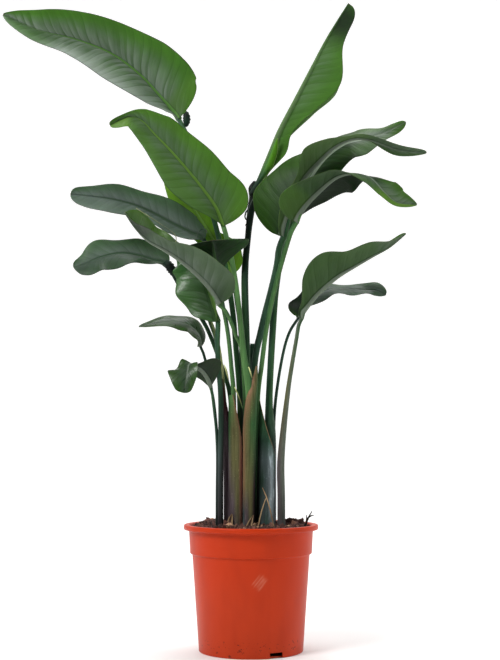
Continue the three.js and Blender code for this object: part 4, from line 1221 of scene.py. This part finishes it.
def soil_base():
    """The soil's own body: a turned block with an uneven top."""
    radii = [4 * MM] + list(np.linspace(8 * MM, SOIL_EDGE, SOIL_RINGS))
    circle = [(np.cos(a), np.sin(a)) for a in turns(ROUND_SIDES)]
    top = [(r * x, r * y, soil_height(r * x, r * y)) for r in radii for x, y in circle]
    low = [(SOIL_FOOT * x, SOIL_FOOT * y, SOIL_BOTTOM) for x, y in circle]
    middle = len(top) + len(low)
    faces = ring_walls(len(radii) + 1, ROUND_SIDES, (0, 3, 2, 1))
    faces += fan(middle, 0, ROUND_SIDES, 1) + fan(middle + 1, len(top), ROUND_SIDES, -1)
    return add_mesh("soil_body", top + low + [(0, 0, soil_height(0, 0)), (0, 0, SOIL_BOTTOM)], faces)


def crumb_object(flatness):
    """One angular crumb, a few dozen faces at most."""
    bpy.ops.mesh.primitive_ico_sphere_add(subdivisions=1, radius=1)
    crumb = bpy.context.object
    rng = np.random.default_rng(4)
    for vertex in crumb.data.vertices:
        vertex.co *= 0.75 + 0.5 * rng.random()
        vertex.co.z *= flatness
    return crumb


def strewn_inputs(face):
    """The inputs and the output that the strewing shows to its user."""
    face.new_socket("Geometry", in_out="INPUT", socket_type="NodeSocketGeometry")
    for name, high in (("Density", 1e6), ("Smallest", 1), ("Largest", 1), ("Reach", 1)):
        socket = face.new_socket(name, in_out="INPUT", socket_type="NodeSocketFloat")
        socket.min_value, socket.max_value = 0, high
    face.new_socket("Seed", in_out="INPUT", socket_type="NodeSocketInt")
    face.new_socket("Geometry", in_out="OUTPUT", socket_type="NodeSocketGeometry")


def strewn_points(g, given):
    """Points on the faces that look up, as far from the axis as the reach."""
    normal = g.node("GeometryNodeInputNormal").outputs[0]
    height = g.node("ShaderNodeSeparateXYZ", {0: normal}).outputs["Z"]
    faces_up = g.node("FunctionNodeCompare", {"A": height, "B": 0.3}, operation="GREATER_THAN")
    place = g.node("GeometryNodeInputPosition").outputs[0]
    flat = g.node("ShaderNodeVectorMath", {0: place, 1: (1, 1, 0)}, operation="MULTIPLY")
    away = g.node("ShaderNodeVectorMath", {0: flat.outputs[0]}, operation="LENGTH").outputs["Value"]
    inside = g.node("FunctionNodeCompare", {"A": away, "B": given["Reach"]}, operation="LESS_THAN")
    both = {0: faces_up.outputs[0], 1: inside.outputs[0]}
    chosen = g.node("FunctionNodeBooleanMath", both, operation="AND").outputs[0]
    inputs = {"Mesh": given["Geometry"], "Selection": chosen, "Density": given["Density"],
              "Seed": given["Seed"]}
    return g.node("GeometryNodeDistributePointsOnFaces", inputs).outputs["Points"]


def random_vector(g, seed, least, most):
    """A random vector for each crumb."""
    seed = g.node("FunctionNodeInputInt", integer=seed).outputs[0]
    inputs = {0: least, 1: most, "Seed": seed}
    return g.node("FunctionNodeRandomValue", inputs, data_type="FLOAT_VECTOR").outputs[0]


def random_number(g, seed, least, most):
    """A random number for each crumb."""
    seed = g.node("FunctionNodeInputInt", integer=seed).outputs[0]
    inputs = {2: least, 3: most, "Seed": seed}
    return g.node("FunctionNodeRandomValue", inputs, data_type="FLOAT").outputs[1]


def scatter_tree(crumb, material):
    """Geometry nodes that strew crumbs over a surface: thin, long and lumpy ones at random."""
    tree = bpy.data.node_groups.new("strewn crumbs", "GeometryNodeTree")
    strewn_inputs(tree.interface)
    g = Graph(tree)
    given = g.node("NodeGroupInput").outputs
    turn = random_vector(g, 17, (0, 0, 0), (6.283, 6.283, 6.283))
    stretch = random_vector(g, 34, (0.5, 0.35, 0.3), (1.5, 0.9, 0.7))
    size = random_number(g, 51, given["Smallest"], given["Largest"])
    scale = g.node("ShaderNodeVectorMath", {0: stretch, "Scale": size}, operation="SCALE")
    shape = g.node("GeometryNodeObjectInfo", {"Object": crumb}).outputs["Geometry"]
    inputs = {"Points": strewn_points(g, given), "Instance": shape, "Rotation": turn,
              "Scale": scale.outputs[0]}
    placed = g.node("GeometryNodeInstanceOnPoints", inputs).outputs["Instances"]
    inputs = {"Geometry": placed, "Name": "chip_tone", "Value": random_number(g, 0, 0, 1)}
    toned = g.node("GeometryNodeStoreNamedAttribute", inputs, data_type="FLOAT", domain="INSTANCE")
    real = g.node("GeometryNodeRealizeInstances", {0: toned.outputs["Geometry"]}).outputs[0]
    covered = g.node("GeometryNodeSetMaterial", {"Geometry": real, "Material": material})
    g.node("NodeGroupOutput", {0: covered.outputs["Geometry"]})
    return tree


def strewn(name, surface, crumb, material, settings):
    """A plain mesh of crumbs strewn over a surface."""
    piece = link(name, surface.data.copy())
    modifier = piece.modifiers.new("strewn", "NODES")
    modifier.node_group = scatter_tree(crumb, material)
    for item in modifier.node_group.interface.items_tree:
        if item.in_out == "INPUT" and item.name in settings:
            modifier[item.identifier] = settings[item.name]
    apply_modifiers(piece)
    return piece


# The stage

def floor_dish():
    """A wide pale floor that curves up into a round backdrop."""
    bend = [(FLOOR_RADIUS + BEND_RADIUS * math.sin(a), BEND_RADIUS - BEND_RADIUS * math.cos(a))
            for a in np.linspace(0, math.pi / 2, 24)]
    rings = [(0.5, 0.0), (1.0, 0.0), (2.0, 0.0)] + bend
    rings.append((FLOOR_RADIUS + BEND_RADIUS, BACKDROP_HEIGHT))
    angle = turns(ROUND_SIDES)
    points = [(r * np.cos(a), r * np.sin(a), z) for r, z in rings for a in angle]
    faces = ring_walls(len(rings), ROUND_SIDES, (0, 3, 2, 1)) + fan(len(points), 0, ROUND_SIDES, 1)
    return add_mesh("floor", points + [(0, 0, 0)], faces)


def floor_material(glow):
    """Pale paper whose emission paints light at the back of the studio, where no lamp is, and which is
    grey at its front end as painted shade of an unlit room.
    """
    s = Shader("pale_backdrop")
    _, y, _ = s.parts(s.position())
    # Painted shade: the paper turns grey at the front end, behind the camera
    paper = s.mix(s.band(y, -4.2, -2.6), (0.22, 0.22, 0.22), (0.82, 0.82, 0.81))
    # Painted light: the back of the floor and backdrop glows by emission, where no lamp is
    lit = s.times(s.band(y, -1.0, 2.6), glow)
    s.set(Base_Color=paper, Roughness=0.8, Emission_Color=(1, 1, 1), Emission_Strength=lit)
    return s.material


def area_light(name, place, target, size, power):
    """A soft square light."""
    lamp = bpy.data.lights.new(name, "AREA")
    lamp.energy, lamp.size = power, size
    light = link(name, lamp)
    light.location = place
    light.rotation_euler = (Vector(target) - Vector(place)).to_track_quat("-Z", "Y").to_euler()


def add_sky(strength):
    """An even white sky over the open top of the studio."""
    world = bpy.data.worlds.new("pale surroundings")
    world.use_nodes = True
    sky = world.node_tree.nodes["Background"].inputs
    sky["Color"].default_value = (1, 1, 1, 1)
    sky["Strength"].default_value = strength
    bpy.context.scene.world = world


def add_camera():
    """The camera, as the photograph's ellipses of rim and foot give it."""
    lens = bpy.data.cameras.new("camera")
    lens.lens, lens.sensor_width = CAMERA_LENS, CAMERA_SENSOR
    camera = link("camera", lens)
    camera.location = CAMERA_PLACE
    camera.rotation_euler = (math.radians(90 + CAMERA_TILT), 0, 0)
    bpy.context.scene.camera = camera


# Properties, operators and the panel

class PlantLooks(bpy.types.PropertyGroup):
    """Sizes and colours that a user would change."""

    pot_colour: FloatVectorProperty(
        name="Pot colour", description="Colour of the plastic pot", subtype="COLOR",
        min=0, max=1, default=(0.52, 0.036, 0.005))
    crumb_density: FloatProperty(
        name="Crumbs", description="Crumbs of soil on each square metre", default=52000, min=0)
    crumb_size: FloatProperty(
        name="Crumb size", description="Radius of the largest crumb", unit="LENGTH", default=0.0042)
    chip_density: FloatProperty(
        name="Chips", description="Chips of bark on each square metre", default=10500, min=0)
    chip_size: FloatProperty(
        name="Chip size", description="Half length of the largest chip", unit="LENGTH", default=0.0110)
    crumb_seed: IntProperty(name="Seed", description="Picks another strewing of crumbs", default=7)
    sky_strength: FloatProperty(
        name="Sky", description="Brightness of the open top of the studio", default=0.30, min=0)
    # The backdrop's glow is emission, painted light in place of lamps behind it
    backdrop_glow: FloatProperty(
        name="Backdrop", description="How strongly the backdrop is lit through", default=0.50, min=0)
    key_power: FloatProperty(
        name="Key light", description="Power of the main soft light", unit="POWER", default=66)


class PLANT_OT_leaves(bpy.types.Operator):
    """Builds the blades of all the leaves"""

    bl_idname = "plant.leaves"
    bl_label = "Leaves"

    def execute(self, context):
        materials = {name: leaf_material(name) for name in TINTS}
        for name, leaf in LEAVES.items():
            blade_piece(name, leaf, materials[leaf["tint"]])
        return {"FINISHED"}


class PLANT_OT_stalks(bpy.types.Operator):
    """Builds the stalks that carry the leaves"""

    bl_idname = "plant.stalks"
    bl_label = "Stalks"

    def execute(self, context):
        material = skin_material("stalk_skin", streak_scale=260.0, rough=0.30, speckle=0.25)
        for name, leaf in LEAVES.items():
            stalk_piece(name, leaf, material)
        return {"FINISHED"}


class PLANT_OT_sheaths(bpy.types.Operator):
    """Builds the sheaths at the foot, the dark joints, the stub and the dry bits"""

    bl_idname = "plant.sheaths"
    bl_label = "Sheaths and dry bits"

    def execute(self, context):
        fresh = skin_material("sheath_skin", streak_scale=330.0, rough=0.36, speckle=0.5)
        dry = skin_material("dry_skin", streak_scale=500.0, rough=0.70, speckle=0.1)
        for name, sheath in SHEATHS.items():
            sheath_piece(name, sheath, fresh)
        for name, rod in RODS.items():
            rod_piece(name, rod, dry if rod["slot"] in ("dry", "twig") else fresh)
        for name, scrap in SCRAPS.items():
            scrap_piece(name, scrap, dry)
        return {"FINISHED"}


class PLANT_OT_soil(bpy.types.Operator):
    """Builds the soil and the crumbs on it"""

    bl_idname = "plant.soil"
    bl_label = "Soil"

    def execute(self, context):
        looks = context.scene.plant_looks
        peat = soil_material("peat", *PEAT)
        bark = soil_material("bark_chips", *BARK)
        body = soil_base()
        crumb = crumb_object(1)
        chip = crumb_object(0.45)
        settings = {"Density": looks.crumb_density, "Smallest": SMALLEST_CRUMB,
                    "Largest": looks.crumb_size, "Seed": looks.crumb_seed, "Reach": SOIL_EDGE}
        crumbs = strewn("soil_crumbs", body, crumb, peat, settings)
        settings = {"Density": looks.chip_density, "Smallest": 0.35 * looks.chip_size,
                    "Largest": looks.chip_size, "Seed": looks.crumb_seed + 1,
                    "Reach": SOIL_EDGE - looks.chip_size}
        chips = strewn("soil_chips", body, chip, bark, settings)
        for tool in (crumb, chip):
            bpy.data.objects.remove(tool)
        dress(body, peat, "soil")
        dress(crumbs, None)
        dress(chips, None)
        return {"FINISHED"}


class PLANT_OT_pot(bpy.types.Operator):
    """Builds the pot"""

    bl_idname = "plant.pot"
    bl_label = "Pot"

    def execute(self, context):
        pot_piece(context.scene.plant_looks)
        return {"FINISHED"}


class PLANT_OT_stage(bpy.types.Operator):
    """Sets up the floor, the lights and the camera"""

    bl_idname = "plant.stage"
    bl_label = "Stage"

    def execute(self, context):
        looks = context.scene.plant_looks
        floor = floor_dish()
        floor.data.materials.append(floor_material(looks.backdrop_glow))
        add_sky(looks.sky_strength)
        for name, place, target, size, share in LIGHTS:
            area_light(name, place, target, size, share * looks.key_power)
        add_camera()
        context.scene.view_settings.view_transform = "Standard"
        return {"FINISHED"}


class PLANT_PT_panel(bpy.types.Panel):
    """Lists the plant's steps and its looks"""

    bl_label = "Bird of paradise"
    bl_space_type = "VIEW_3D"
    bl_region_type = "UI"
    bl_category = "Plant"

    def draw(self, context):
        for operator in STEPS:
            self.layout.operator(operator.bl_idname)
        for key in PlantLooks.__annotations__:
            self.layout.prop(context.scene.plant_looks, key)


STEPS = (PLANT_OT_leaves, PLANT_OT_stalks, PLANT_OT_sheaths, PLANT_OT_soil, PLANT_OT_pot, PLANT_OT_stage)
CLASSES = (PlantLooks, *STEPS, PLANT_PT_panel)


def register():
    for kind in CLASSES:
        bpy.utils.register_class(kind)
    bpy.types.Scene.plant_looks = PointerProperty(type=PlantLooks)


def unregister():
    del bpy.types.Scene.plant_looks
    for kind in reversed(CLASSES):
        bpy.utils.unregister_class(kind)


def main():
    """Builds everything."""
    register()
    bpy.ops.plant.leaves()
    bpy.ops.plant.stalks()
    bpy.ops.plant.sheaths()
    bpy.ops.plant.soil()
    bpy.ops.plant.pot()
    bpy.ops.plant.stage()


if __name__ == "__main__":
    main()
